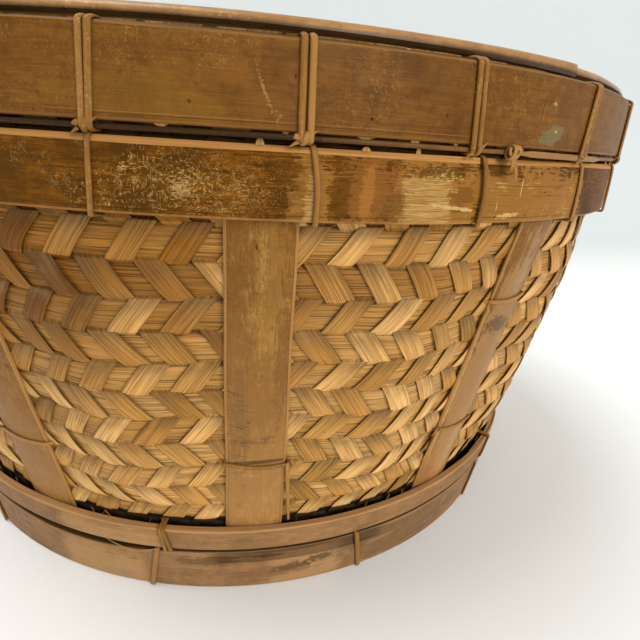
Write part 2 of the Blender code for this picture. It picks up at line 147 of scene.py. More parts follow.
class Tree:
    """A node tree, with the colour so far, which lay and shade change."""

    def __init__(self, owner, colour=None):
        self.owner = owner
        owner.use_nodes = True
        self.nodes, self.links = owner.node_tree.nodes, owner.node_tree.links
        self.colour = colour

    def add(self, kind, *values, out=0, **facts):
        """Add a node with its settings and links, and give one of its outputs. Values go to its inputs
        in order, and None leaves one alone."""
        made = self.nodes.new("ShaderNode" + kind)
        for key, value in facts.items():
            setattr(made, key, value)
        for socket, value in zip(made.inputs, values):
            self.give(socket, value)
        return made.outputs[out]

    def give(self, socket, value):
        if isinstance(value, str):
            value = linear(value)
        if isinstance(value, bpy.types.NodeSocket):
            self.links.new(value, socket)
        elif value is not None:
            socket.default_value = value

    def put(self, node, **values):
        """Give values to the inputs of a node by name, an underscore for each blank in it."""
        for name, value in values.items():
            self.give(node.inputs[name.replace("_", " ")], value)
        return node

    def darken(self, colour, value):
        """Colour times a grey value."""
        grey = self.add("CombineColor", value, value, value)
        return self.add("Mix", 1.0, *MIX_GAP, colour, grey, out=2, data_type="RGBA", blend_type="MULTIPLY")

    def lay(self, colour, mask, *steps, mode="MIX"):
        """Lay a colour over the colour so far, by a mask or by its smooth step over the steps."""
        mask = self.add("MapRange", mask, *steps, **SMOOTH) if steps else mask
        self.colour = self.add("Mix", mask, *MIX_GAP, self.colour, colour, out=2, data_type="RGBA",
                               blend_type=mode)

    def shade(self, value, *steps):
        """Multiply the colour so far by the smooth step of a value over the steps."""
        self.colour = self.darken(self.colour, self.add("MapRange", value, *steps, **SMOOTH))

    def pattern(self, kind, size, place, detail, rough, warp=0.0):
        """Noise in UV or Object space; size is its grain in mm along each axis."""
        scale = tuple(1000 / s for s in size)
        offset = (place, -place, place * 0.7)
        moved = self.add("Mapping", self.add("TexCoord", out=kind), offset, None, scale)
        made = self.add("TexNoise", moved, out="Fac")
        self.put(made.node, Scale=1.0, Detail=detail, Roughness=rough, Distortion=warp)
        return made

    def fibres(self, wide, long, place=0.0, detail=3.0, rough=0.55):
        """Noise stretched along a piece: grain in mm across and along it."""
        return self.pattern("UV", (wide, long, 1000.0), place, detail, rough)

    def blotch(self, size, place=0.0, detail=3.0, rough=0.55, warp=0.0):
        """Even noise, its patches about this many mm across."""
        return self.pattern("Object", (size,) * 3, place, detail, rough, warp)

    def hairs(self, size, place, width):
        """Thin wandering lines: where a noise passes its middle value."""
        off = self.add("Math", self.blotch(size, place, 2.0, 0.6, 1.0), 0.5, operation="SUBTRACT")
        off = self.add("Math", off, 0.0, operation="ABSOLUTE")
        return self.add("MapRange", off, 0.0, width, 1.0, 0.0, **SMOOTH)

    def spot(self, u, v, half_u, half_v, ragged=0.6, grain=3.0, thin=0.0, turn=0.0, vein=0.0):
        """Mask of one mark: an ellipse in UV space, its place and half sizes in mm. The grain is the
        size of its ragged edge, thin breaks it up inside too, turn is in radians, and with a vein
        only thin wandering lines of it are left, about that many mm apart."""
        local = self.add("Mapping", self.add("TexCoord", out="UV"), (u * MM, v * MM, 0.0),
                         (0.0, 0.0, turn), (half_u * MM, half_v * MM, 1.0), vector_type="TEXTURE")
        off = self.add("VectorMath", local, out="Value", operation="LENGTH")
        off = self.add("Math", off, thin, operation="ADD")
        even, drawn = self.blotch(grain, 61.0, 3.0, 0.65), self.fibres(0.35 * grain, 3 * grain, 63.0)
        torn = self.add("Math", even, drawn, operation="ADD")
        torn = self.add("Math", torn, 1.0, operation="SUBTRACT")
        away = self.add("Math", torn, ragged, off, operation="MULTIPLY_ADD")
        mask = self.add("MapRange", away, 0.75, 1.0, 1.0, 0.0, **SMOOTH)
        if vein:
            mask = self.add("Math", mask, self.hairs(vein, 71.0, 0.03), operation="MULTIPLY")
        return mask

    def finish(self, height, strength, distance):
        bump = self.add("Bump")
        self.put(bump.node, Strength=strength, Distance=distance, Height=height)
        self.put(self.nodes["Principled BSDF"], Base_Color=self.colour, Normal=bump)
        return self.owner


def material_tree(name, rough, shine, colour):
    tree = Tree(bpy.data.materials.new(name), colour)
    tree.put(tree.nodes["Principled BSDF"], Roughness=rough, Specular_IOR_Level=shine)
    return tree


def splint_material(name, pale, deep, lined):
    """Splints split from bamboo: straight fibres with little gloss, each splint its own tone, browner and
    darker towards the rim. Painted shade darkens their gaps, creases and float ends, and paints a black
    slot on outer faces at the top of the foot hoop. Lined is the shade of its lines."""
    rim_brown, grey, tobacco, brown, dot, slot_shade = "#a68a34", "#a5804e", "#8c642a", "#7b5932", "#4a2f14", "#22170c"
    tree = material_tree(name, 0.55, 0.15, pale)
    tone, fade, age, grime, front = (tree.add("Attribute", out="Fac", attribute_name=key)
                                     for key in ("tone", "fade", "age", "grime", "front"))
    fine = tree.fibres(0.5, 26, 0.0, 2.0, 0.6)
    lines = tree.fibres(0.7, 60, 4.0, 1.5, 0.5)
    tree.lay(deep, tone, 0.1, 0.75)
    tree.lay(tobacco, tone, 0.7, 0.88, 0.0, 0.8)
    tree.lay(deep, tree.fibres(3.0, 50, 9.0, 2.0), 0.35, 0.7, 0.0, 0.6)
    # Browner and darker towards the rim and on some sides
    tree.lay(rim_brown, age, mode="MULTIPLY")
    stains = tree.add("MapRange", tree.blotch(26, 3.0), 0.46, 0.66, **SMOOTH)
    under = tree.add("MapRange", fade, 0.3, 1.0, 0.1, 0.5, **SMOOTH)
    stained = tree.add("Math", stains, under, operation="MULTIPLY")
    palest = tree.add("MapRange", tone, 0.1, 0.2, 0.35, 0.0, **SMOOTH)
    tree.lay(grey, tree.add("Math", stained, palest, operation="MAXIMUM"))
    patches = tree.add("MapRange", tree.blotch(14, 5.0), 0.3, 0.6, **SMOOTH)
    under = tree.add("MapRange", fade, 0.5, 1.0, 0.0, 0.6, **SMOOTH)
    tree.lay(brown, tree.add("Math", patches, under, operation="MULTIPLY"))
    tree.shade(tree.fibres(1.7, 45, 23.0, 2.0), 0.34, 0.62, 0.88, 1.08)
    tree.shade(fine, 0.35, 0.6, 0.8, 1.1)
    tree.shade(tree.fibres(0.6, 16, 29.0, 2.0, 0.6), 0.62, 0.7, 1.0, 1.22)
    tree.shade(lines, 0.36, 0.44, lined, 1.0)
    # Painted shade and light along each float: darker at its upper end, under the level splint above, and
    # paler at its lower end; level splints' edges are painted darker by the same attribute
    tree.shade(fade, 0.0, 1.0, 1.14, 0.87)
    tree.lay(dot, tree.blotch(3.0, 15.0, 2.0), 0.74, 0.8, 0.0, 0.7)
    # Painted shade in the gaps, creases, slots and float ends that the attribute marks
    tree.shade(grime, 0.0, 1.0, 1.0, 0.12)
    # Painted shade: a black slot with a ragged edge on outer faces along the top of the foot hoop
    up = tree.add("SeparateXYZ", tree.add("TexCoord", out="Object"), out="Z")
    hem = tree.add("Math", tree.blotch(11, 57.0, 3.0, 0.6), -6.0 * MM, up, operation="MULTIPLY_ADD")
    slot = tree.add("MapRange", hem, foot_top - 0.6 * MM, foot_top + 0.4 * MM, 0.93, 0.0, **SMOOTH)
    tree.lay(slot_shade, tree.add("Math", slot, front, operation="MULTIPLY"))
    ridges = tree.add("MapRange", lines, 0.36, 0.46, 0.0, 1.5, **SMOOTH)
    return tree.finish(tree.add("Math", fine, ridges, operation="ADD"), 0.7, 0.22 * MM)


def skin_material(name, skin, dark, peeled, pale, cut, rough=0.42, grain=0.5, shine=0.1, scratches=0.6,
                  cracks=0.0, mottle=0.6, streaks=0.4, ragged=1.1, soft=0.06, lines=0.84, marks=()):
    """Skin of old split bamboo, which gives a dull gloss: grain, brown blotches, worn places that
    show pale fibre, scratches and marks. A mark is the place and half sizes of its spot, colour,
    strength and the spot's other facts."""
    peels_at = 0.39
    tree = material_tree(name, rough, shine, skin)
    tone, worn, bare, grime = (tree.add("Attribute", out="Fac", attribute_name=key)
                               for key in ("tone", "worn", "cut", "grime"))
    fine = tree.fibres(grain, 70)
    tree.lay(dark, tree.fibres(4.0, 90, 7.0), 0.36, 0.66, 0.0, 0.3)
    tree.lay(dark, tree.blotch(34, 9.0, 5.0, 0.65), 0.44, 0.66, 0.0, mottle)
    tree.lay(dark, tree.blotch(7, 11.0, 4.0, 0.7), 0.46, 0.66, 0.0, 0.7 * mottle)
    tree.lay(dark, tree.fibres(1.1, 12, 17.0, 4.0, 0.7), 0.42, 0.62, 0.0, streaks)
    tree.lay(peeled, tone, 0.0, 1.0, 0.0, 0.7)
    peel = worn
    for noise, size in ((tree.blotch(16, 21.0, 5.0, 0.7), ragged),
                        (tree.fibres(1.0, 9, 47.0, 4.0, 0.7), 0.8 * ragged)):
        edge = tree.add("Math", noise, 0.5, operation="SUBTRACT")
        edge = tree.add("Math", edge, size, operation="MULTIPLY")
        peel = tree.add("Math", peel, edge, operation="ADD")
    tree.lay(peeled, peel, peels_at - soft / 2, peels_at + soft / 2)
    threads = tree.fibres(0.7, 14, 13.0, 4.0, 0.7)
    worn_through = tree.add("MapRange", peel, 0.62, 0.72, **SMOOTH)
    torn = tree.add("MapRange", threads, 0.38, 0.62, 0.1, 1.0, **SMOOTH)
    shreds = tree.add("Math", worn_through, torn, operation="MULTIPLY")
    tree.lay(pale, shreds)
    places = tree.add("MapRange", tree.blotch(36, 27.0), 0.40, 0.56, **SMOOTH)
    for size, place in ((5.0, 33.0), (2.6, 35.0)):
        nicks = tree.add("Math", places, tree.hairs(size, place, 0.014), operation="MULTIPLY")
        breaks = tree.blotch(3.4, place + 4, 1.0)
        broken = tree.add("MapRange", breaks, 0.46, 0.53, 0.0, scratches, **SMOOTH)
        tree.lay(pale, tree.add("Math", nicks, broken, operation="MULTIPLY"))
    if cracks:
        ticks = tree.pattern("UV", (9.0, 0.5, 1000.0), 41.0, 2.0, 0.6, 0.5)
        ticks = tree.add("MapRange", ticks, 0.67, 0.72, **SMOOTH)
        dry = tree.add("MapRange", tree.blotch(22, 43.0), 0.5, 0.58, **SMOOTH)
        split = tree.add("Math", ticks, dry, operation="MULTIPLY")
        tree.lay(SPECK, tree.add("Math", split, cracks, operation="MULTIPLY"))
    for u, v, half_u, half_v, colour, strength, *facts in marks:
        mark = tree.spot(u, v, half_u, half_v, *facts)
        tree.lay(colour, tree.add("Math", mark, strength, operation="MULTIPLY"))
    tree.shade(fine, 0.3, 0.6, lines, 1.06)
    tree.lay(SPECK, tree.blotch(4.0, 31.0, 3.0, 0.6), 0.69, 0.75, 0.0, 0.8)
    cut_fibres = tree.add("MapRange", tree.fibres(0.5, 30, 51.0), 0.3, 0.6, 0.8, 1.05, **SMOOTH)
    tree.lay(tree.darken(cut, cut_fibres), bare)
    # Painted shade along edges, grooves and slits, and in the gap under the rim strip, where the attribute
    # marks it
    tree.shade(grime, 0.0, 1.0, 1.0, 0.12)
    raised = tree.add("Math", shreds, threads, operation="MULTIPLY")
    return tree.finish(tree.add("Math", fine, raised, operation="ADD"), 0.3, 0.2 * MM)


# Bent strips: where they lie, and the marks on them. A strip's UV has its height plus a share of its
# radius, a stave's is moved on for each stave, and a skin lies a little under the full thickness
RADIUS_UV, STAVE_UV, SKIN = 0.6, 0.61, 0.1 * MM


def hoop_seat(z):
    """Inner radius of a hoop that lies on the staves at a height."""
    return (float(wall_radius(z)) + SEAT) / FACET


def inner_seat(z):
    """Inner radius of a band that lies inside the wall at a height."""
    return float(wall_radius(z)) - WALL_THICK * math.hypot(1, FLARE) - GAP - INNER_THICK


class Strip:
    """A split strip bent once round: its node, inner radius, thickness, angle of its start, cone."""

    def __init__(self, node, inner, thick, start, cone=0.0):
        self.node, self.inner, self.thick, self.start, self.cone = node, inner, thick, start, cone
        self.bottom, self.top = span(node)[:2]

    def place(self, angle, height):
        """UV place in mm of a point on its skin, from an angle in degrees and a height in mm. Places
        before the end of the lap are on the strip's tail, a turn further on."""
        face = self.inner + self.thick - SKIN + self.cone * (height * MM - self.bottom)
        turn = angle + 360 * (angle < self.start + LAP)
        return height + RADIUS_UV * face / MM, math.radians(turn) * self.inner / MM


upper = Strip("upper_rim_band", RIM_R + GAP, UPPER_THICK, 96)
lower = Strip("lower_rim_band", hoop_seat(lower_band[0]), LOWER_THICK, 0)
inner_upper = Strip("inner_upper_band", inner_seat(wall_top), INNER_THICK, 210)
inner_lower = Strip("inner_lower_band", inner_seat(lower_band[0]), INNER_THICK, 300)
foot_low = Strip("lower_foot_hoop", hoop_seat(0.0), FOOT_THICK, 150, FLARE / FACET)
foot_high = Strip("upper_foot_hoop", hoop_seat(upper_foot[0]), FOOT_THICK, 42, FLARE / FACET)


def marks_on(place, rows):
    """Marks of a material, from rows whose first two numbers the place function turns into UV mm."""
    return [place(*row[:2]) + row[2:] for row in rows]


# A row is an angle in degrees or a distance across in mm, a height in mm, half sizes up and along (on
# staves across and up) in mm, colour, strength, then the ragged, grain, thin, turn and vein of Tree.spot
upper_marks = marks_on(upper.place, [
    (0.05, 301.8, 10, 0.8, "#b98e50", 0.45, 3.5, 1, 0.3, -0.386),
    (0.9, 295, 4, 2.6, "#b98e50", 0.4, 4, 1, 0.7, -0.3),
    (-5.04, 297.7, 0.8, 0.9, "#2a1606", 0.9, 0.5, 2),
    (7.66, 296.2, 0.8, 0.7, "#2a1606", 0.9, 0.5, 2),
    (2, 308.5, 0.9, 0.5, "#3a2010", 0.8, 0.5, 2),
    (24.15, 306.7, 7, 0.3, "#3a220c", 0.8, 0.9, 3, 0, 0.06),
    (23.8, 309, 2.2, 0.25, "#3a220c", 0.8, 0.6, 3, 0, -0.15),
    (26.3, 296.3, 5.5, 9, "#736744", 0.7, 1.4, 4, 0, -0.3),
    (26.7, 298, 0.6, 1.6, "#c9a869", 0.6, 3, 1),
    (25.7, 309.8, 0.6, 1.4, "#cfae70", 0.6, 3, 1),
    (-9, 298, 9, 36, "#84601c", 0.3, 1.5, 14),
    (0, 291.9, 0.22, 95, "#42260a", 0.6, 1.2, 5),
    (0, 292.6, 0.2, 95, "#a0703a", 0.4, 1.6, 6)])
lower_marks = marks_on(lower.place, [
    (8.3, 268, 17, 14, "#8a5826", 0.7, 2.2, 2.5),
    (7.9, 266, 15, 3.2, "#a36a2e", 0.6, 1.6, 3, 0, 0.08),
    (5.9, 266, 13.5, 4.6, "#5c3a10", 0.65, 2.6, 2.2, 0.1, 0.1),
    (10.2, 262, 8.5, 6, "#64401a", 0.6, 2.4, 2.4, 0, 0.3),
    (-6.5, 267, 12, 26, "#cda763", 0.42, 2.6, 5, 0, 0, 4.2),
    (-1, 265, 11, 16, "#c39a55", 0.3, 2.6, 5, 0, 0, 2.6),
    (14, 277.5, 3.4, 17, "#50300c", 0.7, 2.4, 3, 0.1),
    (16.6, 268, 7, 8, "#76491b", 0.75, 2, 4),
    (15.9, 262.5, 0.9, 14, "#cfa866", 0.8, 1.8, 2, 0, 0.1),
    (15.2, 276, 3.5, 14, "#c9a258", 0.7, 4, 1.2, 0.8),
    (22.3, 258.4, 1.4, 8, "#cdaa6e", 0.7, 1.6, 2, 0, -0.12),
    (23.7, 271.5, 4.6, 0.4, "#dcb678", 0.7, 0.9),
    (20.9, 263, 3, 0.3, "#dcb678", 0.5, 0.9),
    (26, 272.5, 0.25, 36, "#5a3512", 0.6, 1.2, 5),
    (26, 268, 0.2, 36, "#5a3512", 0.5, 1.6, 5),
    (-5.5, 269, 8, 12, "#c39a58", 0.6, 5, 1, 0.95),
    (-5.9, 266, 3.5, 4, "#b59058", 0.5, 2.5, 1.5, 0.2),
    (-1, 267, 12, 26, "#b98f4c", 0.45, 5, 1.1, 1.15),
    (-9.8, 274, 4, 5, "#c39a58", 0.7, 4.5, 1.2, 0.9),
    (1.5, 269, 13, 9, "#43260a", 0.35, 3),
    (0, 257.6, 0.25, 130, "#3a2008", 0.6, 1, 5),
    (19, 257.6, 0.25, 80, "#3a2008", 0.6, 1, 5)])
foot_marks = marks_on(foot_low.place, [
    (5.4, 16.5, 4.6, 14, "#3c3026", 0.8, 2.2, 3, 0, -0.15),
    (9.6, 21.5, 3.8, 13, "#463829", 0.75, 2.2, 3, 0, -0.12),
    (3, 14, 8, 32, "#7a5230", 0.5, 1.4, 7, 0, -0.1),
    (2, 30, 2.4, 12, "#50391f", 0.6, 1.6, 5),
    (13.5, 21, 3.4, 11, "#857660", 0.4, 2.2, 4, 0, 0.2),
    (-6, 28, 5, 22, "#5c4022", 0.55, 1.6, 6),
    (24, 20, 24, 60, "#664b30", 0.5, 1.4, 14),
    (20, 22.5, 2.6, 13, "#9c7b52", 0.6, 0.9, 4, 0, -0.1),
    (-4, 30.8, 0.28, 34, "#35210e", 0.8, 0.8, 5, 0, 0.02),
    # The brown band high on the lower hoop is painted shade in the groove under the upper hoop
    (5, 33.4, 1.8, 26, "#7a5026", 0.7, 1, 6),
    (-17, 24, 0.8, 3, "#6b4c34", 0.7, 1.5, 2)])
first_stave_marks = [
    # The dark band along the tie's upper edge is painted shade with dirt
    (2, 112.2, 18, 1.7, "#38240f", 0.7, 0.5, 3, 0, 0.04),
    (-1, 128, 12, 1.8, "#43352a", 0.4, 2.4, 3, 0.2, -0.12),
    (6, 130.5, 4.5, 2.2, "#3b3027", 0.4, 2.4, 3, 0.2, 0.4),
    (-2, 101, 6, 1.2, "#d0a878", 0.3, 3.5, 1.2, 0.4, -0.2),
    # Lengthwise streaks: the pale ones down the middle are worn fibre with a painted highlight on the
    # crown, the darker ones to the sides painted shade
    (4, 222, 44, 8, "#a07636", 0.3, 2.4, 3, 0, 1.57),
    (-12.5, 238, 26, 5, "#6f4a18", 0.35, 2.2, 6, 0, 1.57),
    (-9, 140, 34, 6, "#795734", 0.5, 2.6, 5, 0, 1.57),
    (12, 180, 40, 4, "#6f4a20", 0.4, 2.6, 6, 0, 1.57),
    (1, 236, 26, 2.6, "#b98f50", 0.35, 3.5, 1.3, 0.5, 1.57),
    (1, 196, 30, 2.6, "#b98f50", 0.3, 4, 1.3, 0.7, 1.57),
    (-2, 243, 0.6, 1.8, "#3a230e", 0.8, 0.6, 3, 0, 0.2)]
# Its greyish marks on the right of the crown and above the node are painted sheen
second_stave_marks = marks_on(lambda x, z: (x, z + STAVE_UV / MM), [
    (-6, 150, 4, 52, "#7a4f2a", 0.4, 2.2, 5),
    (-6, 76, 5.6, 40, "#9c602f", 0.6, 1.2, 5, 0, 0.03),
    (8, 84, 6.5, 30, "#b69a72", 0.35, 1.6, 4, 0, 0.03),
    (-15.2, 150, 1.5, 75, "#c8955a", 0.7, 1.2, 6),
    (0, 150, 16, 110, "#bb8f5c", 0.35, 1, 9),
    (0, 189, 13, 6.5, "#4a2f1a", 0.7, 2.6),
    (3, 222, 9, 20, "#a18b63", 0.3, 3.5, 3, 0.4),
    (11, 150, 3.5, 60, "#a0865c", 0.25, 2, 6)])


def fine_cracks(many=20):
    """Marks of short cracks, nearly parallel, low on the left of the first stave."""
    draw = np.random.default_rng(5)
    for _ in range(many):
        x, z = draw.uniform(-16, -5), draw.uniform(116, 164)
        long, slope = draw.uniform(1.5, 6.0), draw.normal(-0.18, 0.12)
        yield x, z, long, 0.24, "#3a2613", 0.6, 2.0, 1.6, 0.0, slope


splint_mat = splint_material("split_splint", "#f3bf79", "#be8841", 0.66)
level_mat = splint_material("level_splint", "#d5a25d", "#ad7a3a", 0.45)
upper_mat = skin_material("upper_band_skin", "#784c18", "#4e2d09", "#8b5e28", "#b58a4c", "#94652f",
                          scratches=0.4, mottle=0.75, streaks=0.35, lines=0.9, marks=upper_marks)
lower_mat = skin_material("lower_band_skin", "#77460b", "#3a1f02", "#90612a", "#b69054", "#b57f45",
                          shine=0.03, scratches=0.8, mottle=0.9, streaks=0.8, ragged=0.9, marks=lower_marks)
inner_mat = skin_material("inner_band_skin", "#8f6230", "#6c451c", "#9c6f3a", "#b98e55", "#b98550")
foot_mat = skin_material("foot_hoop_skin", "#a0744a", "#6a4a2a", "#b08554", "#8c7a60", "#ab8152", 0.5, 0.6,
                         scratches=0.3, mottle=0.7, streaks=0.55, ragged=0.7, soft=0.5, marks=foot_marks)
stave_mat = skin_material("stave_skin", "#815419", "#643e16", "#ba8950", "#c19b66", "#a5763f",
                          scratches=0.3, cracks=0.8, soft=0.5, lines=0.92,
                          marks=first_stave_marks + second_stave_marks + list(fine_cracks()))
strip_mat = skin_material("rim_strip_skin", "#b07e48", "#70481f", "#b98a50", "#cfa870", "#b98a50", 0.34,
                          shine=0.25, streaks=0.6)
cane_mat = skin_material("cane_skin", "#97662b", "#6a4416", "#b07f43", "#cfa66a", "#b07f43", grain=0.35,
                         shine=0.15, mottle=0.3)


# Meshes
def mesh_piece(name, points, uv, material, slot, nodes, **fields):
    """Lofted strips in one mesh. points is (strips, stations, section, 3), or without strips for one
    strip, uv the same with 2. Sections are closed loops; fields are point attributes."""
    strips, stations, section = ((1,) + points.shape[:-1])[-3:]
    index = np.arange(strips * stations * section).reshape(strips, stations, section)
    near, following = index[:, :-1], index[:, 1:]
    quads = np.stack([near, np.roll(near, -1, axis=2), np.roll(following, -1, axis=2), following],
                     axis=-1).reshape(-1, 4)
    ends = np.concatenate([index[:, 0], index[:, -1, ::-1]])
    loops = np.concatenate([quads.reshape(-1), ends.reshape(-1)])
    sizes = np.concatenate([np.full(len(quads), 4), np.full(len(ends), section)])
    mesh = bpy.data.meshes.new(name)
    mesh.vertices.add(index.size)
    mesh.vertices.foreach_set("co", points.reshape(-1).astype(np.float32))
    mesh.loops.add(len(loops))
    mesh.loops.foreach_set("vertex_index", loops.astype(np.int32))
    mesh.polygons.add(len(sizes))
    starts = np.concatenate([[0], np.cumsum(sizes)[:-1]])
    mesh.polygons.foreach_set("loop_start", starts.astype(np.int32))
    mesh.update(calc_edges=True)
    layer = mesh.uv_layers.new(name="along")
    layer.data.foreach_set("uv", uv.reshape(-1, 2)[loops].astype(np.float32).reshape(-1))
    for key, value in fields.items():
        value = np.broadcast_to(np.asarray(value, float), (strips, stations, section))
        field = mesh.attributes.new(key, "FLOAT", "POINT")
        field.data.foreach_set("value", value.reshape(-1).astype(np.float32))
    mesh.validate()
    mesh.shade_smooth()
    mesh.set_sharp_from_angle(angle=math.radians(42))
    mesh.materials.append(material)
    made = bpy.data.objects.new(name, mesh)
    bpy.context.scene.collection.objects.link(made)
    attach(made, "root")
    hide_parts(*nodes)
    return made


def wander(places, size, waves=3, base=1.0):
    """Smooth random sway along a piece: a few sines of rising pitch. places run 0 to 1."""
    total = np.zeros_like(places, dtype=float)
    for k in range(waves):
        total += rng.normal() * np.sin(2 * np.pi * (base * (k + 1) * places + rng.random())) / (k + 1)
    return size * total


def each(count, maker):
    return np.stack([maker() for _ in range(count)])


# Woven wall: rows are the level splints, counted down, and FIRST_ROW is the top of number 0. STEP is
# from one slanted splint to the next, and FIRST_FLOAT is the angle of the first of each set there. In
# all pieces xs and rise are a section's points, across and out from its middle
PITCH, FIRST_ROW = 18.0 * MM, 0.2515
ROWS = np.arange(-4, 14)
COUNT = 75
STEP = 360.0 / COUNT
FIRST_FLOAT = {1: 9.40, -1: 7.39}
REACH = 0.07
LAYER, WEAVE_HALF = 1.3 * MM, 1.6 * MM
SPLINT_WIDE, SPLINT_THICK = 14.4 * MM, 0.8 * MM
LEVEL_WIDE, LEVEL_THICK, LEVEL_LAP = 18.5 * MM, 0.7 * MM, 12
RIM_DARK_FROM, RIM_DARK_OVER = 0.10, 0.13
weave_top = strip_low - 0.4 * MM
gap_middle = lower_band[1] + 2.5 * MM


def wall_middle(angle, z):
    return wall_radius(z) + bulge(angle, z) - WEAVE_HALF


def ages(angle, z):
    """Browner towards the rim, more so on some sides than on others."""
    sides = 0.55 - 0.43 * np.sin(np.radians(2 * (angle - 6)))
    return np.clip((z - RIM_DARK_FROM) / RIM_DARK_OVER, 0, 1) * sides


def grimes(z, front):
    """Painted shade: black in the gap behind the rim bands and, on outer faces, dark down behind the foot
    hoop.
    """
    gap = np.clip(1.4 - np.abs(z - gap_middle) / (3.2 * MM), 0, 1)
    foot = np.clip((foot_top + 4.0 * MM - z) / (7 * MM), 0, 1)
    return np.maximum(gap, foot * 0.9 * front)


def slanted(name, sign, pick):
    """A third of one set of slanted splints, running down to the left (sign +1) or right (-1).
    Each passes over the level splints in every second row and under them in the others: it stands
    off the middle by a layer times a low power of the sine of how far it is through the row. Added
    are a crown across it, an arch and tilt of its own, and small bells where it changes sides."""
    parts = np.array([0.0, 0.04, 0.08, 0.14, 0.3, 0.5, 0.7, 0.86, 0.92, 0.96])
    s = (ROWS[:, None] + parts).ravel()
    z = FIRST_ROW - s * PITCH
    keep = (z < weave_top) & (z > wall_low + 3.2 * MM)
    s, z = s[keep, None], z[keep, None]
    row = np.floor(s)
    part = s - row
    side = np.where(row % 2 == 0, 1.0, -1.0) * sign
    over = side > 0
    past = part + np.where(over, 0.0, np.where(part < 0.5, 1.0, -1.0))
    outside = (past > -REACH) & (past < 1 + REACH)
    hump = np.where(outside, (past + REACH) / (1 + 2 * REACH), (part - REACH) / (1 - 2 * REACH))
    spot = (row[:, 0] - ROWS[0]).astype(int)
    xs = np.array([-0.5, -0.49, -0.44, 0.0, 0.44, 0.49, 0.5, 0.46, 0.0, -0.46])
    rise = np.array([0.0, 0.36, 0.46, 0.5, 0.46, 0.36, 0.0, -0.5, -0.5, -0.5])
    # Painted shade along the splint's edges and side faces, darkest on its upper edge
    edge = np.array([0.8, 0.5, 0.0, 0.0, 0.0, 0.1, 0.5, 0.15, 0.0, 0.15])
    edge = edge if sign > 0 else np.concatenate([edge[6::-1], edge[:6:-1]])
    front = (rise > -0.4) * 1.0
    k = np.arange(COUNT)[pick][:, None, None]
    floats = (len(k), len(ROWS))
    arc = np.sin(np.pi * part)

    def per_float(size):
        return rng.normal(0, size, floats)[:, spot, None] * arc

    centre = FIRST_FLOAT[sign] + k * STEP - sign * s * STEP / 2
    centre = centre + rng.normal(0, 0.15, k.shape) + each(len(k), lambda: wander(s / 17, 0.10, 3, 1.5))
    crossing = rng.normal(0, 0.13, (len(k), len(ROWS) + 1, 1))
    centre = centre + crossing[:, spot] * (1 - part) + crossing[:, spot + 1] * part
    wide = SPLINT_WIDE * (1 + rng.normal(0, 0.05, k.shape)) * (1 + per_float(0.04))
    aside = xs * wide
    angle = centre + np.degrees(aside / wall_radius(z))
    zz = np.broadcast_to(z, angle.shape)
    lift = np.where(outside, 1.0, -1.0) * np.abs(np.sin(np.pi * hump)) ** 0.36
    lifted = np.maximum(lift, 0)
    swap = side * (np.exp(-(part / 0.1) ** 2) - np.exp(-((1 - part) / 0.1) ** 2))
    curl = np.exp(-((part - 0.86) / 0.1) ** 2) * lifted
    arch = np.abs(rng.normal(0.35, 0.2, floats))[:, spot, None] * arc * lifted
    crown = 0.3 * (1 - (2 * xs) ** 2) * lifted
    tilt = per_float(0.22) * over * 2 * xs
    out = wall_middle(angle, zz) + LAYER * lift + rise * SPLINT_THICK
    out = out + (crown + arch + tilt + 0.3 * curl + 0.3 * swap) * MM
    uv = np.stack([aside, zz * 1.2 + rng.random(k.shape) * 3], axis=-1)
    # Painted shade where the splint goes in under a level splint, more at its lower end
    pinched = np.interp(hump, [0, 0.06, 0.94, 1], [0.3, 0, 0, 0.5])
    shade_paint = np.maximum(np.maximum(grimes(zz, front), pinched), edge)
    tone = rng.random(k.shape) * 0.8
    mood = rng.random(floats)[:, spot, None]
    mesh_piece(name, turn_in(out, angle, zz), uv, splint_mat, "splint_weave", ["woven_wall"],
               tone=tone + 0.2 * mood, fade=np.where(outside, 1 - hump, 0.5),
               age=ages(angle, zz) * (0.5 + mood), grime=shade_paint, front=front)


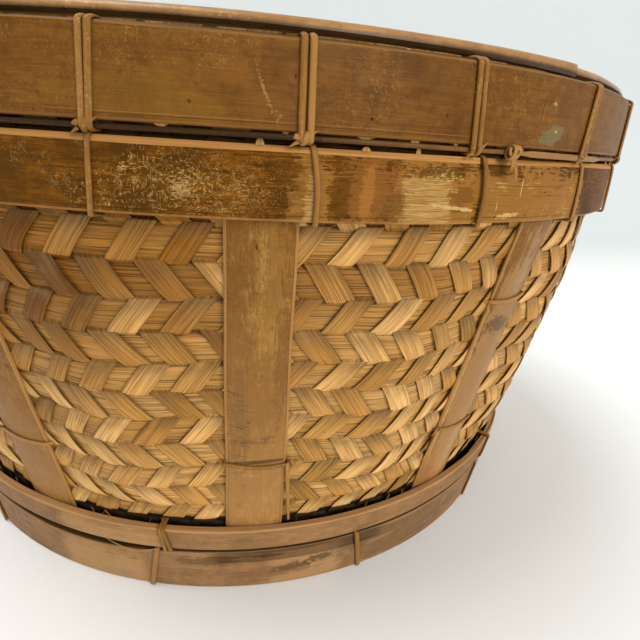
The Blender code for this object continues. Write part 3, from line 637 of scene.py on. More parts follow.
def level(name, pick):
    """Level splints, one to a row, each lapped where it starts. A cosine pushes them in where a
    slanted splint crosses over and out where it goes under; their edges turn in by a root."""
    rows = ROWS[pick][:, None, None]
    turns = np.linspace(0, 360 + LEVEL_LAP, 621)[:, None]
    xs = np.array([-0.5, -0.44, -0.36, 0.0, 0.36, 0.44, 0.5, 0.36, 0.0, -0.36])
    rise = np.array([0.0, 0.4, 0.5, 0.5, 0.5, 0.4, 0.0, -0.5, -0.5, -0.5])
    front = (rise > -0.4) * 1.0
    angle = rng.random(rows.shape) * 360 + turns + 0 * xs
    wide = LEVEL_WIDE * (1 + rng.normal(0, 0.015, rows.shape))
    sway = each(len(rows), lambda: wander(turns / 360, 0.2 * MM, 4, 5))
    zz = FIRST_ROW - (rows + 0.5) * PITCH + sway + xs * wide
    zz = np.clip(zz, wall_low + 3.0 * MM, weave_top)
    sign = np.where(rows % 2 == 0, 1, -1)
    over = np.where(sign > 0, FIRST_FLOAT[1], FIRST_FLOAT[-1]) - sign * (rows + 0.5) * STEP / 2
    push = -0.2 * MM - 0.3 * MM * np.cos(2 * np.pi * (angle - over) / STEP)
    lean = each(len(rows), lambda: wander(turns / 360, 0.12 * MM, 3, 7)) * 2 * xs
    out = wall_middle(angle, zz) + push + lean + rise * LEVEL_THICK
    out = out - 4.0 * MM * np.maximum(np.abs(xs) - 0.36, 0) ** 0.5
    out = out - 0.5 * MM * np.clip((turns - 360) / 3, 0, 1)
    uv = np.stack([np.broadcast_to(xs * LEVEL_WIDE, angle.shape),
                   np.radians(angle) * 0.29 + rows * 0.37], axis=-1)
    # Its turned-in edges are painted darker, and the gap and foot zones blacker, both painted shade
    mesh_piece(name, turn_in(out, angle, zz), uv, level_mat, "splint_weave", ["woven_wall"],
               tone=rng.random(rows.shape), fade=0.35 + 0.5 * (np.abs(xs) > 0.4),
               age=ages(angle, zz), grime=grimes(zz, front), front=front)


for third in range(3):
    picked = slice(third * COUNT // 3, (third + 1) * COUNT // 3)
    slanted("slant_left_splints_%d" % (third + 1), 1, picked)
    slanted("slant_right_splints_%d" % (third + 1), -1, picked)
level("level_splints_upper", slice(0, 9))
level("level_splints_lower", slice(9, 18))


def frayed_tips():
    """Broken splint ends that stand between the weave and the top of the foot hoops."""
    many, tip_r, sunk = 5, 0.268, 4.5 * MM
    t = np.linspace(0, 1, 5)[:, None]
    shape = (STAVES * many, 1, 1)
    bay = np.repeat(np.arange(STAVES), many)[:, None, None]
    angle = BAY * bay + 5.2 + 19.6 * rng.random(shape)
    tall = rng.uniform(5.0, 7.5, shape) * MM
    wide = rng.uniform(1.5, 4.0, shape) * MM * (1 - 0.7 * t)
    xs = np.array([-0.5, 0.0, 0.5, 0.0])
    rise = np.array([0.0, 0.5, 0.0, -0.5])
    z = foot_top - sunk + tall * t + 0 * xs
    lean = rng.normal(0, 0.5, shape) * t
    out = wall_radius(z) + (1.5 + rng.uniform(0, 1.3, shape) + rise) * MM
    points = turn_in(out, angle + lean + np.degrees(xs * wide / tip_r), z)
    uv = np.stack([xs * wide + 0 * t, z + bay * 0.1], axis=-1)
    # The tips are darkened with painted shade, as they stand in the dark slot above the foot hoop
    mesh_piece("frayed_splint_tips", points, uv, splint_mat, "splint_weave", ["woven_wall"],
               tone=rng.random(shape), fade=0.5, age=0.4, grime=rng.uniform(0.5, 0.8, shape))


def floor_weave():
    """Two layers of crossing splints, over and under in turn by a sine, cut round to fit the wall."""
    low, high, radius = span("woven_floor")
    pitch, wide, thick = 12.5 * MM, 11.8 * MM, 0.75 * MM
    reach = radius - 0.4 * MM
    xs = np.array([-0.5, -0.46, 0.0, 0.46, 0.5, 0.46, 0.0, -0.46])
    rise = np.array([0.0, 0.35, 0.5, 0.35, 0.0, -0.35, -0.5, -0.35])
    count = int(2 * reach / pitch)
    places = (np.arange(count) - (count - 1) / 2) * pitch
    half = np.sqrt(np.maximum(reach ** 2 - (np.abs(places) + wide / 2) ** 2, (12 * MM) ** 2))
    for turn, name in ((0, "floor_splints_long"), (1, "floor_splints_cross")):
        along = np.linspace(-1, 1, 161)[None, :] * half[:, None]
        phase = np.arange(count)[:, None] + turn + along / pitch + (count - 1) / 2
        wave = 0.42 * MM * np.sin(np.pi * (phase + 0.5))
        x = places[:, None, None] + xs * wide + 0 * along[:, :, None]
        y = along[:, :, None] + 0 * x
        z = (low + high) / 2 + wave[:, :, None] + rise * thick
        points = np.stack([x, y, z] if turn == 0 else [y, x, z], axis=-1)
        uv = np.stack([x, y + places[:, None, None] * 7], axis=-1)
        if turn == 0:
            points, uv = points[:, :, ::-1], uv[:, :, ::-1]
        mesh_piece(name, points, uv, splint_mat, "splint_weave", ["woven_floor"],
                   tone=rng.random((count, 1, 1)), fade=0.4)


frayed_tips()
floor_weave()


# Bent strips: bands, hoops and the rim's cap
def windows(angle, spots, taper=3):
    """Highest of the bumps round the ring, flat on top with sides that slope over the taper: each
    spot is its centre and half width in degrees, and its height."""
    total = np.zeros_like(angle)
    for centre, half, height in spots:
        off = np.abs((angle - centre + 180) % 360 - 180)
        total = np.maximum(total, height * np.clip((half + taper / 2 - off) / taper, 0, 1))
    return total


def lapped(inner, thick):
    """Degrees along a strip bent once round, and its inner and outer radius there. Where its ends
    lap they share the thickness: its start tapers on the near side, its tail on the far side."""
    turns = np.concatenate([np.arange(0, 360, 0.75), 360 + np.linspace(0, LAP, 25)])
    tip, rest, ease, swell = 0.15, 0.65, 6, 30
    far = np.clip(tip + rest + (turns - LAP) / swell, 0, 1)
    far = np.where(turns < LAP, tip + rest * turns / LAP, far)
    near = tip * np.clip((turns - 360 + ease) / ease, 0, 1)
    near = np.where(turns > 360, tip + rest * (turns - 360) / LAP, near)
    return turns, inner + thick * near + (turns > 360) * GAP, inner + thick * far


def bent_strip(name, strip, slot, material, high_edge=(1.2, 0.9), skin_inside=False, sway=0.25,
               worn=(), groove=(), dip=(), top_edge_shade=0.0, bottom_edge_shade=0.0):
    """Split strip bent once round, as in the solid; its edges are bevelled and wander a little and
    its skin is crowned by a square law. Worn, groove and dip are windows: how bare its skin is, how
    far its upper part is sunk and how far its upper edge is lowered, both in mm. The groove is also
    painted darker, and the last two arguments paint shade along its upper and lower edge."""
    low_edge, crown, skin_step = (1.2, 0.9), 0.35 * MM, 0.15 * MM
    turns, low, high = lapped(strip.inner, strip.thick)
    angle = strip.start + turns
    places = np.radians(angle) / (2 * np.pi)
    z_low = strip.bottom + np.abs(wander(places, sway * MM * 0.6, 4, 2)) * 0.5
    z_high = strip.top - np.abs(wander(places, sway * MM, 4, 2)) - windows(angle, dip, 12) * MM
    bevel = 1 + wander(places, 0.12, 4, 7)
    down_low, deep_low = low_edge[0] * MM, low_edge[1] * MM
    down_high, deep_high = high_edge[0] * MM * bevel, high_edge[1] * MM
    full = high - low
    slim = np.clip(full / (strip.thick * 0.5), 0, 1)
    face_low, face_high = z_low + down_low, z_high - down_high
    recess = windows(angle, groove) * MM
    columns = [(z_low, low + 0.25 * MM * slim, 1), (z_low, low + 0.5 * full, 1),
               (z_low, high - deep_low * slim, 0.6),
               (z_low + 0.35 * down_low, high - 0.35 * deep_low * slim, 0.5),
               (face_low - 0.1 * MM, high, 0.4), (face_low, high, 0)]
    for part, deep in ((0.25, 0), (0.5, 0), (0.70, 0), (0.72, recess)):
        columns.append((face_low + part * (face_high - face_low),
                        high + crown * 2 * part * (1 - part) * slim - deep, 0))
    columns += [(face_high - 0.1 * MM, high - recess, 0), (face_high + 0.05 * MM, high - recess, 1),
                (z_high - 0.4 * down_high, high - 0.45 * deep_high * slim - recess * 0.5, 1),
                (z_high, high - deep_high * slim, 1), (z_high, low + 0.5 * full, 1),
                (z_high, low + 0.25 * MM * slim, 1), (z_high - 0.4 * MM, low, 1),
                ((z_low + z_high) / 2, low, 1), (z_low + 0.4 * MM, low, 1)]
    z = np.stack([c[0] for c in columns], axis=-1)
    r = np.stack([c[1] for c in columns], axis=-1) - skin_step
    cut = np.broadcast_to(np.array([c[2] for c in columns], float), r.shape)
    bare = windows(angle, worn)[:, None] * np.array([1.0] * 8 + [0.95, 0.8, 0.62] + [0.5] * 8)
    # Painted shade in the sunk groove and along the upper and lower edge
    groove_shade = np.array([0.0] * 9 + [1.0] * 3 + [0.0] * 7)
    top_shade_columns = np.array([0.0] * 11 + [0.2, 0.6, 0.9, 1.0, 1.0] + [0.0] * 3)
    bottom_shade_columns = np.array([1.0, 1.0, 0.8, 0.4, 0.1] + [0.0] * 13 + [1.0])
    dark = 0.55 * windows(angle, groove)[:, None] / 0.7 * groove_shade + top_edge_shade * top_shade_columns
    dark = dark + bottom_edge_shade * bottom_shade_columns
    if skin_inside:
        r = (low + high)[:, None] - r - skin_step
        r, z, cut, bare, dark = (value[:, ::-1] for value in (r, z, cut, bare, dark))
    r = r + strip.cone * (z - strip.bottom) + wander(places, 0.06 * MM, 3, 3)[:, None]
    points = turn_in(r, angle[:, None] + 0 * r, z)
    uv = np.stack([z + r * RADIUS_UV, np.radians(angle)[:, None] * strip.inner + 0 * z], axis=-1)
    mesh_piece(name, points, uv, material, slot, [strip.node], cut=cut, worn=bare, grime=dark,
               tone=0.25 + 0.25 * wander(places, 0.6, 3, 3)[:, None])


# The lower band is worn beside each lashing, and in the places that follow
lash_halo = [(k * LASH_STEP + 3.7, 1.5, 0.5 + 0.35 * math.cos(k * 2.1)) for k in range(LASHINGS - 1)]
bent_strip("upper_band", upper, "upper_band_bamboo", upper_mat,
           worn=[(70, 3, 0.5), (200, 8, 0.45), (300, 4, 0.6)], top_edge_shade=0.9)
bent_strip("lower_band", lower, "lower_band_bamboo", lower_mat, high_edge=(2.4, 1.5),
           worn=lash_halo + [(13.3, 3.2, 0.86), (16.6, 3.0, 0.5), (27, 9, 0.55), (75, 10, 0.6),
                             (120, 6, 0.5), (165, 12, 0.62), (215, 7, 0.55), (262, 8, 0.66), (318, 8, 0.6)])
bent_strip("inner_upper_strip", inner_upper, "inner_band_bamboo", inner_mat, skin_inside=True,
           worn=[(60, 20, 0.5), (220, 30, 0.6)])
bent_strip("inner_lower_strip", inner_lower, "inner_band_bamboo", inner_mat, skin_inside=True,
           worn=[(130, 20, 0.5), (280, 25, 0.6)])
bent_strip("foot_hoop_low", foot_low, "foot_hoop_bamboo", foot_mat, sway=0.15, top_edge_shade=0.85,
           worn=[(-22, 7, 0.6), (8, 6, 0.55), (100, 12, 0.5), (230, 9, 0.55), (290, 14, 0.5)],
           groove=[(7, 13, 0.7), (130, 20, 0.5), (250, 14, 0.6)], dip=[(-26, 10, 3.4), (170, 12, 2.0)])
bent_strip("foot_hoop_high", foot_high, "foot_hoop_bamboo", foot_mat, bottom_edge_shade=0.8,
           worn=[(-20, 8, 0.5), (150, 15, 0.6)])


def rim_cap():
    """Half round strip on the rim, its ends lapped side by side."""
    middle = (RIM_R + inner_upper.inner) / 2
    turns, low, high = lapped(middle - CAP_WIDE / 2, CAP_WIDE)
    a = np.linspace(0, np.pi, 9)
    side = np.concatenate([np.cos(a), [-0.7, 0.0, 0.7]])
    up = np.concatenate([0.25 + 0.75 * np.sin(a), [0.0, 0.0, 0.0]])
    # Painted shade along the cap's lower sides, where it sits on the bands
    shade_paint = np.array([0.85, 0.15] + [0.0] * 5 + [0.15] + [0.85] * 4)
    tall = (strip_high - strip_low) * (1 - np.abs(wander(turns / 360, 0.05, 3, 3)))
    r = (high + low)[:, None] / 2 + (high - low)[:, None] / 2 * side
    angle = 12.0 + turns[:, None] + 0 * r
    points = turn_in(r, angle, strip_low + tall[:, None] * up)[:, ::-1]
    uv = np.stack([side * CAP_WIDE / 2 + 0 * r, np.radians(angle) * middle], axis=-1)[:, ::-1]
    mesh_piece("rim_cap_strip", points, uv, strip_mat, "rim_strip_bamboo", ["rim_strip"],
               tone=0.4, grime=shade_paint[::-1])


rim_cap()


# Staves and slats
def staves():
    """Split culms with slightly wandering edges. Their skin is crowned by a square law, and every
    second one has a node: a bell-shaped ridge with a groove above it, and dark bloom below."""
    ledge = 0.452
    half = np.array([0.17, 0.34, 0.44, ledge, 0.464, 0.478, 0.5, 0.5])
    xs = np.concatenate([-half[::-1], [0.0], half, [0.3, -0.3]])
    rise = 1 - 0.60 * (2 * xs) ** 2
    rise[[0, -3, -2, -1]] = 0.0
    rise[[1, -4]] = 0.30
    cut = (np.abs(xs) > 0.46) * 1.0
    cut[-2:] = 1
    # Painted shade: a dark line along the step at each edge of the skin
    line = 0.5 * (np.abs(np.abs(xs) - ledge) < 0.005)
    z = np.linspace(wall_low + 0.2 * MM, lower_band[0] + 17.5 * MM, 120)
    places = (z - z[0]) / (z[-1] - z[0])
    for k in range(STAVES):
        wide = stave_wide(z, z[-1])
        left = -wide / 2 + wander(places, 0.25 * MM, 3)
        right = wide / 2 + wander(places, 0.25 * MM, 3)
        ridge = bloom = np.zeros_like(z)
        if k % 2:
            gap = (z - NODE_Z) / (2.2 * MM)
            ridge = 0.9 * np.exp(-gap ** 2) - 0.5 * np.exp(-(gap - 1.7) ** 2 * 2)
            bloom = np.exp(-np.clip((NODE_Z - 2 * MM - z) / (9 * MM), 0, 9)) * (z < NODE_Z)
        x = (left + right)[:, None] / 2 + (right - left)[:, None] * xs
        x = x * (1 + 0.03 * ridge)[:, None]
        thick = STAVE_THICK * (1 + wander(places, 0.03, 2))
        out = rise * thick[:, None] + (ridge * MM)[:, None] * (rise > 0.25)
        points = beside(wall_radius(z)[:, None] + GAP + out, x, BAY * k, z[:, None])
        uv = np.stack([x, z[:, None] + 0 * x + k * STAVE_UV], axis=-1)
        own = rng.normal(0, 0.1)
        own = 0.18 if k == 0 else own
        # The tone runs paler towards the foot, painted light from the floor, and darker below a node
        tone = (0.75 - 0.9 * places + own - bloom)[:, None]
        worn = 0.12 + 0.2 * np.clip(1 - places / 0.4, 0, 1)[:, None]
        mesh_piece("stave_%02d_skin" % (k + 1), points, uv, stave_mat, "stave_bamboo",
                   ["stave_%02d" % (k + 1)], cut=cut, tone=tone, worn=worn, grime=line)


def slats():
    """Split slats under the floor: they keep the solid's shape, with rounded edges and wander."""
    xs = np.array([-0.5, -0.47, -0.3, 0.0, 0.3, 0.47, 0.5, 0.4, -0.4])
    rise = np.array([0.3, 0.45, 0.8, 1.0, 0.8, 0.45, 0.3, 0.0, 0.0])
    for k in range(4):
        low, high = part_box("floor_slat_%d" % (k + 1))
        lengthwise = 0 if k >= 2 else 1
        side = 1 - lengthwise
        t = np.linspace(low[lengthwise], high[lengthwise], 60)
        places = (t - t[0]) / (t[-1] - t[0])
        wide = (high[side] - low[side]) * (0.98 - np.abs(wander(places, 0.008, 3)))
        x = (low[side] + high[side]) / 2 + wide[:, None] * xs
        z = high.z - rise * (high.z - low.z) * 0.98 + 0 * x
        along = t[:, None] + 0 * x
        points = np.stack([along, x, z] if lengthwise == 0 else [x, along, z], axis=-1)
        uv = np.stack([x, along + k], axis=-1)
        if lengthwise == 1:
            points, uv = points[:, ::-1], uv[:, ::-1]
        mesh_piece("floor_slat_%d_skin" % (k + 1), points, uv, stave_mat, "floor_slat_bamboo",
                   ["floor_slat_%d" % (k + 1)], tone=rng.random())


staves()
slats()


# Cane: a section is flat below and crowned above, with painted shade along its edges
FLAT_X = np.array([-0.5, -0.42, -0.22, 0.0, 0.22, 0.42, 0.5, 0.35, -0.35])
FLAT_Y = np.array([-0.1, 0.22, 0.43, 0.5, 0.43, 0.22, -0.1, -0.5, -0.5])
EDGE_SHADE = np.array([0.55, 0.25, 0.0, 0.0, 0.0, 0.25, 0.55, 0.7, 0.7])
UP = np.array([0.0, 0.0, 1.0])


def rounded(path):
    """Corner cutting: each of three passes puts points a quarter of the way in from both ends of
    a side."""
    path = np.asarray(path, float)
    for _ in range(3):
        near = 0.75 * path[:-1] + 0.25 * path[1:]
        far = 0.25 * path[:-1] + 0.75 * path[1:]
        inner = np.stack([near, far], axis=1).reshape(-1, path.shape[1])
        path = np.concatenate([path[:1], inner[1:-1], path[-1:]])
    return path


def cane_points(centres, sides, wide, thick):
    """Sections of a cane about a path: sides is the direction across it, or one for each point. Its
    crown is on the side of sides cross ahead."""
    ahead = np.gradient(centres, axis=0)
    ahead /= np.linalg.norm(ahead, axis=1, keepdims=True)
    sides = sides - ahead * np.sum(sides * ahead, axis=1, keepdims=True)
    sides /= np.linalg.norm(sides, axis=1, keepdims=True)
    wide = np.broadcast_to(wide, (len(centres),))[:, None] * FLAT_X
    thick = np.broadcast_to(thick, (len(centres),))[:, None] * FLAT_Y
    points = (centres[:, None] + wide[:, :, None] * sides[:, None]
              + thick[:, :, None] * np.cross(sides, ahead)[:, None])
    length = np.concatenate([[0], np.cumsum(np.linalg.norm(np.diff(centres, axis=0), axis=1))])
    uv = np.stack([wide, length[:, None] + 0 * wide], axis=-1)
    return points[:, ::-1], uv[:, ::-1]


def strand(path, angle, lean=0.0, wide=CANE_WIDE, shift=0.0, bow=0.0):
    """Flat cane over an edge: path of (radius, height), leaning and bowed as it goes down."""
    path = rounded(path)
    drop = (path[:, 1].max() - path[:, 1]) / max(np.ptp(path[:, 1]), 1e-6)
    angles = angle + lean * (drop - 0.5) + bow * np.sin(np.pi * drop) + np.degrees(shift / path[:, 0])
    return cane_points(turn_in(path[:, 0], angles, path[:, 1]), across(angles), wide, CANE)


def cane_mesh(name, made, nodes, tone=None, grime=0.0):
    """One piece from many canes whose paths have the same number of points."""
    points = np.stack([p for p, _ in made])
    uv = np.stack([u for _, u in made]) + rng.random((len(made), 1, 1, 1)) * np.array([0, 3.0])
    tone = rng.random((len(made), 1, 1)) * 0.7 if tone is None else tone
    grime = np.maximum(grime, EDGE_SHADE[::-1])
    mesh_piece(name, points, uv, cane_mat, "cane", nodes, tone=tone, grime=grime)


BITE, RUN_IN = 0.3 * MM, 1.15 * MM
under_inner = upper_band[0] - GAP - HALF
over_top = upper_band[1] + GAP + HALF
hook = lower_band[1] + GAP + HALF
upper_out = upper.inner + upper.thick
inner_face = inner_upper.inner * FACET - GAP - HALF
outer_face = upper_out + GAP + HALF - 0.15 * MM
runner_r = upper_out + GAP + BITE - RUN_IN
runner_z = lower_band[1] + GAP + CANE - BITE + RUN_IN

# Angle and lean of the lashings that the photo shows, by their number round the rim. Over the lower
# band they have a bow too
UPPER_SEEN = {23: (-11.77, -0.57), 0: (2.79, -0.02), 1: (16.69, 0.55)}
LOWER_SEEN = {23: (-12.3, -0.3, 0.0), 0: (3.7, 0.42, 0.25), 1: (18.5, 0.33, 0.4)}
FOOT_SEEN = {0: (-13.94, -1.5), 1: (15.98, 1.56)}
HIGH_FOOT_SEEN = {0: (-11.87, 0.68)}
UPPER_START = 2.6


def lash_places(count, start, off, seen, *sways):
    """Angle, lean and so on of each lashing: as the photo shows it, or drawn about even places."""
    for k in range(count):
        drawn = (start + 360 / count * k + rng.normal(0, off), *(rng.normal(*sway) for sway in sways))
        yield seen.get(k, drawn)


def upper_lashings():
    """Twice over both upper bands; the outer ends turn in under the runner."""
    made = []
    corner = 5 * MM
    path = [(inner_face + 4.4 * MM, under_inner), (inner_face, under_inner),
            (inner_face, over_top - corner), (inner_face, over_top), (outer_face, over_top),
            (outer_face, over_top - corner), (outer_face, runner_z + 2 * MM),
            (outer_face, hook + 0.2 * MM), (outer_face - 7 * MM, hook)]
    for angle, lean in lash_places(LASHINGS, UPPER_START, 0.3, UPPER_SEEN, (0, 0.45)):
        for side in (-1, 1):
            wide = CANE_WIDE * rng.uniform(0.82, 0.98)
            shift = side * (CANE_WIDE / 2 + rng.uniform(-0.1, 0.15) * MM)
            own = angle + rng.normal(0, 0.03)
            made.append(strand(path[::-1], own, lean + rng.normal(0, 0.06), wide, shift))
    cane_mesh("upper_lashings", made, ["rim_lacing"])


def lower_lashings():
    """Once round the lower band, outside and inside, up to the wall at both ends."""
    outer, inner = [], []
    corner, in_reach = 4 * MM, 4.8 * MM
    under = lower_band[0] - GAP - HALF
    face = lower.inner + lower.thick + GAP + HALF - 0.1 * MM
    in_face = inner_lower.inner * FACET - GAP - HALF
    seat = BAND_R + GAP
    path = [(seat - 2 * MM, under - 1 * MM), (face - 2 * MM, under), (face, under),
            (face, under + corner), (face, hook - 5 * MM), (face - 1.3 * MM, hook - 0.6 * MM), (seat, hook)]
    in_path = [(in_face + in_reach, under), (in_face, under), (in_face, under + corner),
               (in_face, hook - corner), (in_face, hook), (in_face + in_reach, hook)]
    for angle, lean, bow in lash_places(LASHINGS, 3.8, 0.3, LOWER_SEEN, (0.2, 0.3), (0.1, 0.2)):
        outer.append(strand(path, angle, lean, CANE_WIDE * rng.uniform(0.72, 0.92), 0.0, bow))
        inner.append(strand(in_path, angle + rng.normal(0, 0.3), lean, CANE_WIDE * rng.uniform(0.8, 1.0)))
    cane_mesh("lower_lashings", outer, ["rim_lacing"])
    cane_mesh("inner_lashings", inner, ["inner_rim_lacing"])


def carried(name, node, radius, height, wide, thick, sway, tone, grime):
    """Cane carried once round, lapped where it starts. Its painted shade is (degrees, value) pairs."""
    turns = np.linspace(0, 364, 729)
    places = turns / 360
    r = radius + wander(places, sway * MM, 4, 6)
    z = height + wander(places, sway * MM, 4, 7)
    r = r + np.clip((turns - 358) / 4, 0, 1) * thick * MM * 0.9
    made = cane_points(turn_in(r, turns, z), -UP, wide * MM, thick * MM)
    cane_mesh(name, [made], [node], tone, np.interp(turns, *zip(*grime))[None, :, None])


def hitches():
    """Each doubled lashing ends in about a turn and a half round the runner, with short pointed
    tips."""
    loops, tips = [], []
    for k in range(LASHINGS):
        angle, lean = UPPER_SEEN.get(k, (UPPER_START + LASH_STEP * k, 0.0))
        angle += 0.5 * lean + rng.normal(0, 0.1)
        t = np.linspace(0.0, 1.0, 41)
        turn = 2 * np.pi * 1.6 * t + rng.uniform(0, 0.6)
        along = (t - 0.5) * 6.4 * MM
        r = runner_r + 0.2 * MM + 2.1 * MM * np.cos(turn)
        z = runner_z + 2.1 * MM * np.sin(turn) + (t - 0.5) * 1.8 * MM
        centres = turn_in(r, angle + np.degrees(along / runner_r), z)
        loops.append(cane_points(centres, across(angle), 2.5 * MM, 1.2 * MM))
        t = np.linspace(0, 1, 13)
        for side in (-1, 1):
            along = side * (2.2 + 3.6 * t) * MM
            z = runner_z + side * (1.2 + 2.2 * t) * MM
            centres = turn_in(runner_r + (1.6 - 0.8 * t) * MM, angle + np.degrees(along / runner_r), z)
            tips.append(cane_points(centres, -side * UP, 1.9 * MM * (1.08 - t), 0.8 * MM * (1.08 - t)))
    cane_mesh("runner_hitches", loops, ["rim_lacing"])
    cane_mesh("hitch_tips", tips, ["rim_lacing"])


upper_lashings()
lower_lashings()
# Painted shade on the runner, darkest where it lies deep in the gap on the left of the front
carried("runner", "rim_lacing", runner_r - 0.6 * MM, runner_z, 2.1, 1.7, 0.15, 0.2,
        [(0, 0.92), (2.5, 0.88), (4, 0.7), (8, 0.6), (18, 0.4), (30, 0.35), (60, 0.6), (150, 0.4),
         (240, 0.7), (335, 0.9), (364, 0.92)])
carried("inner_runner", "inner_rim_lacing", inner_lower.inner + inner_lower.thick / 2, hook, 1.2, 2.4, 0.05,
        0.4, [(0, 0.5), (364, 0.5)])
hitches()


def foot_lashings():
    """Over each foot hoop from the slit between them, and the cane carried in the slit."""
    slit = lower_foot[1] + GAP + HALF
    over = foot_top + GAP + HALF

    def face(z):
        return hoop_seat(z) + FOOT_THICK + GAP + HALF - 0.1 * MM, z

    low, high = [], []
    start = [(hoop_seat(slit) + 1 * MM, slit), face(slit)]
    low_path = start + [face(slit - 4 * MM), face(5 * MM), face(1.2 * MM)]
    high_path = start + [face(slit + 4 * MM), face(over - 3 * MM), face(over),
                         (float(wall_radius(over)) + GAP, over)]
    for angle, lean in lash_places(STAVES, -14.7, 0.6, FOOT_SEEN, (0, 1.2)):
        low.append(strand(low_path[::-1], angle, lean, CANE_WIDE * rng.uniform(1.05, 1.25)))
    for angle, lean in lash_places(STAVES // 2, -12.3, 0.6, HIGH_FOOT_SEEN, (0, 1.0)):
        for side in (-1, 1):
            turned = lean + side * rng.uniform(0.1, 0.35)
            wide = CANE_WIDE * rng.uniform(0.8, 0.95)
            high.append(strand(high_path, angle, turned, wide, side * 1.3 * MM))
    cane_mesh("foot_lashings_low", low, ["foot_lacing"])
    cane_mesh("foot_lashings_high", high, ["foot_lacing"])
    # Painted shade on the cane that lies deep in the slit
    carried("foot_runner", "foot_lacing", hoop_seat(slit) + 2.2 * MM, slit, 1.2, 2.0, 0.05, 0.1,
            [(0, 0.9), (364, 0.9)])


def loose_strand():
    """Thin end of cane that sags out of the slit beside a lashing of the upper foot hoop."""
    t = np.linspace(0, 1, 31)
    z = upper_foot[0] + (1.2 - 4.2 * np.sin(np.pi * t * 0.9)) * MM
    line = turn_in(hoop_seat(lower_foot[1]) + (5.6 + 0.8 * np.sin(np.pi * t)) * MM, -20.5 + 7.6 * t, z)
    taper = np.clip(0.5 + 2 * t, 0, 1)
    made = cane_points(line, -UP, 0.9 * MM * taper, 0.5 * MM * taper)
    cane_mesh("loose_strand", [made], ["foot_lacing"], 1.4)


def stave_ties():
    """Thin cane across each stave, tilted and sagging a little, its ends going into the weave."""
    lift = GAP + HALF
    for height, first, step, label in ((TIE_Z, 0, 1, "stave_tie"), (NODE_TIE_Z, 1, 2, "node_tie")):
        half = stave_wide(height) / 2
        top, shoulder = STAVE_THICK + lift + 0.1 * MM, STAVE_THICK + lift - 0.6 * MM
        rising = [(half + 3.0 * MM, -0.5 * MM), (half + lift, 0.4 * MM), (half + lift, 1.4 * MM + lift),
                  (0.56 * half, shoulder)]
        x, out = rounded([(-x, out) for x, out in rising] + [(0, top)] + rising[::-1]).T
        for k in range(first, STAVES, step):
            sag = 1.4 * MM * np.cos(np.clip(x / half, -1, 1) * np.pi / 2)
            z = height + rng.normal(0, 0.04) * x - sag
            centres = beside(wall_radius(z) + GAP + out, x, BAY * k, z)
            made = cane_points(centres, -UP, 2.4 * MM, 1.3 * MM)
            cane_mesh("%s_%02d_cane" % (label, k + 1), [made], ["%s_%02d" % (label, k + 1)], rng.random())


def tie_tail(k):
    """Loose end of a stave tie: a cane that hangs down beside the stave, and a short hooked stub."""
    side = 1 if k % 2 == 0 else -1
    weave_r = 0.28
    long = 52 if k == 0 else rng.uniform(8, 30)
    t = np.linspace(0, 1, 25)
    hanging = 2.5 * np.sin(np.pi * np.clip(t * 8, 0, 1)) - long * t
    hooked = 2.4 * np.sin(np.pi * np.clip(t * 1.6, 0, 1)) - 5.0 * np.clip(t - 0.45, 0, 1)
    made = []
    for wide, reach, drop in ((2.5, 3.6, hanging), (1.5, 5.6, hooked)):
        along = side * (stave_wide(TIE_Z) / 2 + (0.9 + reach * t) * MM)
        z = TIE_Z + (0.5 + drop) * MM
        base = wall_radius(z) + bulge(BAY * k + np.degrees(along / weave_r), z)
        centres = beside(base + (2.7 + 0.4 * np.sin(np.pi * t)) * MM, along, BAY * k, z)
        taper = np.clip(1.6 - t, 0.6, 1.0)
        made.append(cane_points(centres, -across(BAY * k), wide * MM * taper, 1.1 * MM * taper))
    cane_mesh("stave_tie_%02d_tail" % (k + 1), made, ["stave_tie_%02d" % (k + 1)], 1.3)


foot_lashings()
loose_strand()
stave_ties()
for number in range(STAVES):
    tie_tail(number)

KNOT_ANGLE = 21.0


def knot():
    """A ring of cane with two turns round its left side, a pointed tail over the lower band with a
    shorter one behind it, and the flat strand that goes on to the right."""
    centre = upper_out + 2.4 * MM
    lean = across(KNOT_ANGLE)
    t = np.linspace(0, 2 * np.pi, 49)
    ring = beside(centre + 0.5 * np.sin(2 * t) * MM, 3.1 * np.cos(t) * MM, KNOT_ANGLE,
                  runner_z + 2.3 * np.sin(t) * MM)
    spokes = np.cos(t)[:, None] * lean + np.sin(t)[:, None] * UP
    loops = [cane_points(ring, spokes, 2.1 * MM, 1.3 * MM)]
    for shift, tilt in ((-2.6, 0.9), (-0.6, -0.8)):
        x = (shift + tilt * np.cos(t) + 0.8 * np.sin(t)) * MM
        wrap = beside(centre + 1.6 * np.cos(t) * MM, x, KNOT_ANGLE, runner_z + 2.9 * np.sin(t) * MM)
        loops.append(cane_points(wrap, lean, 2.0 * MM, 1.0 * MM))
    tails = []
    t = np.linspace(0, 1, 41)
    for slope, long, start in ((0.42, 11.0, -1.2), (0.1, 7.0, -1.8)):
        x = (start + slope * long * t) * MM
        z = runner_z - (1.5 + long * t) * MM
        line = beside(centre + (0.2 + 0.9 * np.sin(np.pi * t)) * MM, x, KNOT_ANGLE, z)
        taper = np.clip(1.15 - t ** 2, 0.12, 1)
        tails.append(cane_points(line, -lean, 2.6 * MM * taper, 0.9 * MM * taper))
    cane_mesh("runner_knot", loops, ["lacing_knot"], 0.9)
    cane_mesh("knot_tails", tails, ["lacing_knot"], 0.7)
    share = np.linspace(0, 1, 60)
    line = turn_in(runner_r + (1.5 - 1.6 * share) * MM, KNOT_ANGLE + 0.7 + 16.3 * share,
                   runner_z - (0.2 + 0.5 * share) * MM)
    wide = np.interp(share, [0, 0.12, 0.9, 1], [1.4, 3.0, 3.0, 1.0]) * MM
    cane_mesh("runner_splice", [cane_points(line, -UP, wide, 1.0 * MM)], ["rim_lacing"], 0.6, 0.2)


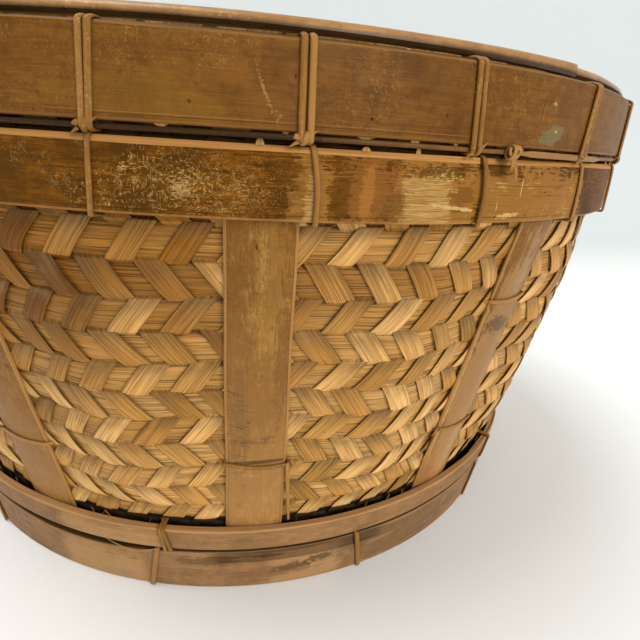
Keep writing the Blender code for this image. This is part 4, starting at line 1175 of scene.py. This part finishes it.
def gap_teeth():
    """Tips of splints in the gap between the rim bands. Those that hang are pointed and pale, those
    that stand are rounded and darkened with painted shade. Each is angle, side (+1 hangs), width and height
    in mm."""
    seen = [(-7.1, 1, 6.0, 0.9), (-0.3, -1, 3.4, 2.2), (1.5, 1, 3.0, 0.9), (7.5, 1, 8.0, 1.0),
            (7.6, -1, 4.0, 1.4), (11.6, 1, 5.0, 1.6), (12.0, -1, 2.4, 2.4), (15.4, 1, 2.0, 2.0),
            (23.0, 1, 2.4, 1.2)]
    guessed = [(rng.uniform(30, 340), rng.choice([-1, 1]), rng.uniform(2, 7), rng.uniform(0.9, 2.2))
               for _ in range(40)]
    teeth = []
    t = np.linspace(0, 1, 6)
    for angle, side, wide, tall in seen + guessed:
        edge = upper_band[0] + 0.1 * MM if side > 0 else lower_band[1] - 0.6 * MM
        line = turn_in(upper_out - 2.6 * MM + 0 * t, angle + 0 * t, edge - side * tall * 1.3 * MM * t)
        shape = wide * MM * (1 - 0.55 * t if side > 0 else np.sqrt(1 - 0.97 * t ** 2))
        teeth.append(cane_points(line, -side * across(angle), shape, 0.7 * MM))
    points, uv = (np.stack(part) for part in zip(*teeth))
    standing = np.array([tooth[1] < 0 for tooth in seen + guessed], float)[:, None, None]
    mesh_piece("gap_splint_tips", points, uv, splint_mat, "splint_weave", ["woven_wall"],
               tone=rng.random((len(teeth), 1, 1)) * 0.4, age=0.3, grime=0.5 * standing)


knot()
gap_teeth()


# Stage, light and camera
def stage():
    """A pale floor that bends up behind the basket, two broad lamps, and a room that gives about half
    the light that the camera sees in it."""
    front, back, bend_r, side, wall = -40.0, 1.0, 0.6, 40.0, 6.0
    bend = np.radians(np.linspace(0, 90, 13))
    sweep = [(back + bend_r * math.sin(a), bend_r - bend_r * math.cos(a)) for a in bend]
    profile = [(front, 0.0)] + sweep + [(back + bend_r, wall)]
    points = [(x, y, z) for y, z in profile for x in (-side, side)]
    quads = [(2 * k, 2 * k + 1, 2 * k + 3, 2 * k + 2) for k in range(len(profile) - 1)]
    mesh = bpy.data.meshes.new("floor")
    mesh.from_pydata(points, [], quads)
    mesh.shade_smooth()
    tree = material_tree("pale_floor", 0.85, 0.1, "#efefec")
    back_from = tree.add("SeparateXYZ", tree.add("TexCoord", out="Object"), out="Y")
    # The backdrop is painted greyer towards the back, a painted shade
    tree.lay("#d3d7d6", back_from, 0.4, 1.3)
    tree.put(tree.nodes["Principled BSDF"], Base_Color=tree.colour)
    mesh.materials.append(tree.owner)
    ground = bpy.data.objects.new("floor", mesh)
    bpy.context.scene.collection.objects.link(ground)
    room = Tree(bpy.data.worlds.new("soft_room"))
    lit = room.put(room.nodes["Background"], Color="#eff4f5", Strength=0.50)
    seen = room.add("Background", "#e9eeef")
    camera_ray = room.add("LightPath", out="Is Camera Ray")
    either = room.add("MixShader", camera_ray, lit.outputs[0], seen)
    room.put(room.nodes["World Output"], Surface=either)
    bpy.context.scene.world = room.owner
    for name, energy, way in (("key", 1.95, (-0.45, 0.80, -0.50)), ("top", 1.5, (0.36, -0.06, -1.0))):
        light = bpy.data.lights.new(name, "SUN")
        light.angle = math.radians(30)
        light.energy = energy
        lamp = bpy.data.objects.new(name, light)
        lamp.rotation_euler = Vector(way).to_track_quat("-Z", "Y").to_euler()
        bpy.context.scene.collection.objects.link(lamp)


def camera():
    """Camera at the photo's place: near, as high as the gap between the rim bands, tipped down and
    turned and rolled a little."""
    place, focal_pixels, photo_pixels, sensor = (0.0, -0.5079, 0.2864), 481, 640, 36
    yaw, pitch, roll, turned = (math.radians(v) for v in (8.89, 20.21, 3.70, -0.9))
    data = bpy.data.cameras.new("photo_view")
    data.lens = focal_pixels / photo_pixels * sensor
    data.sensor_width = sensor
    data.clip_start = 0.01
    data.clip_end = 100
    made = bpy.data.objects.new("photo_view", data)
    bpy.context.scene.collection.objects.link(made)
    turns = [Matrix.Rotation(turn, 4, axis) for turn, axis in
             ((turned, "Z"), (-yaw, "Z"), (math.pi / 2 - pitch, "X"), (roll, "Z"))]
    made.matrix_world = turns[0] @ Matrix.Translation(place) @ turns[1] @ turns[2] @ turns[3]
    bpy.context.scene.camera = made


stage()
camera()
scene = bpy.context.scene
scene.view_settings.view_transform = "Standard"
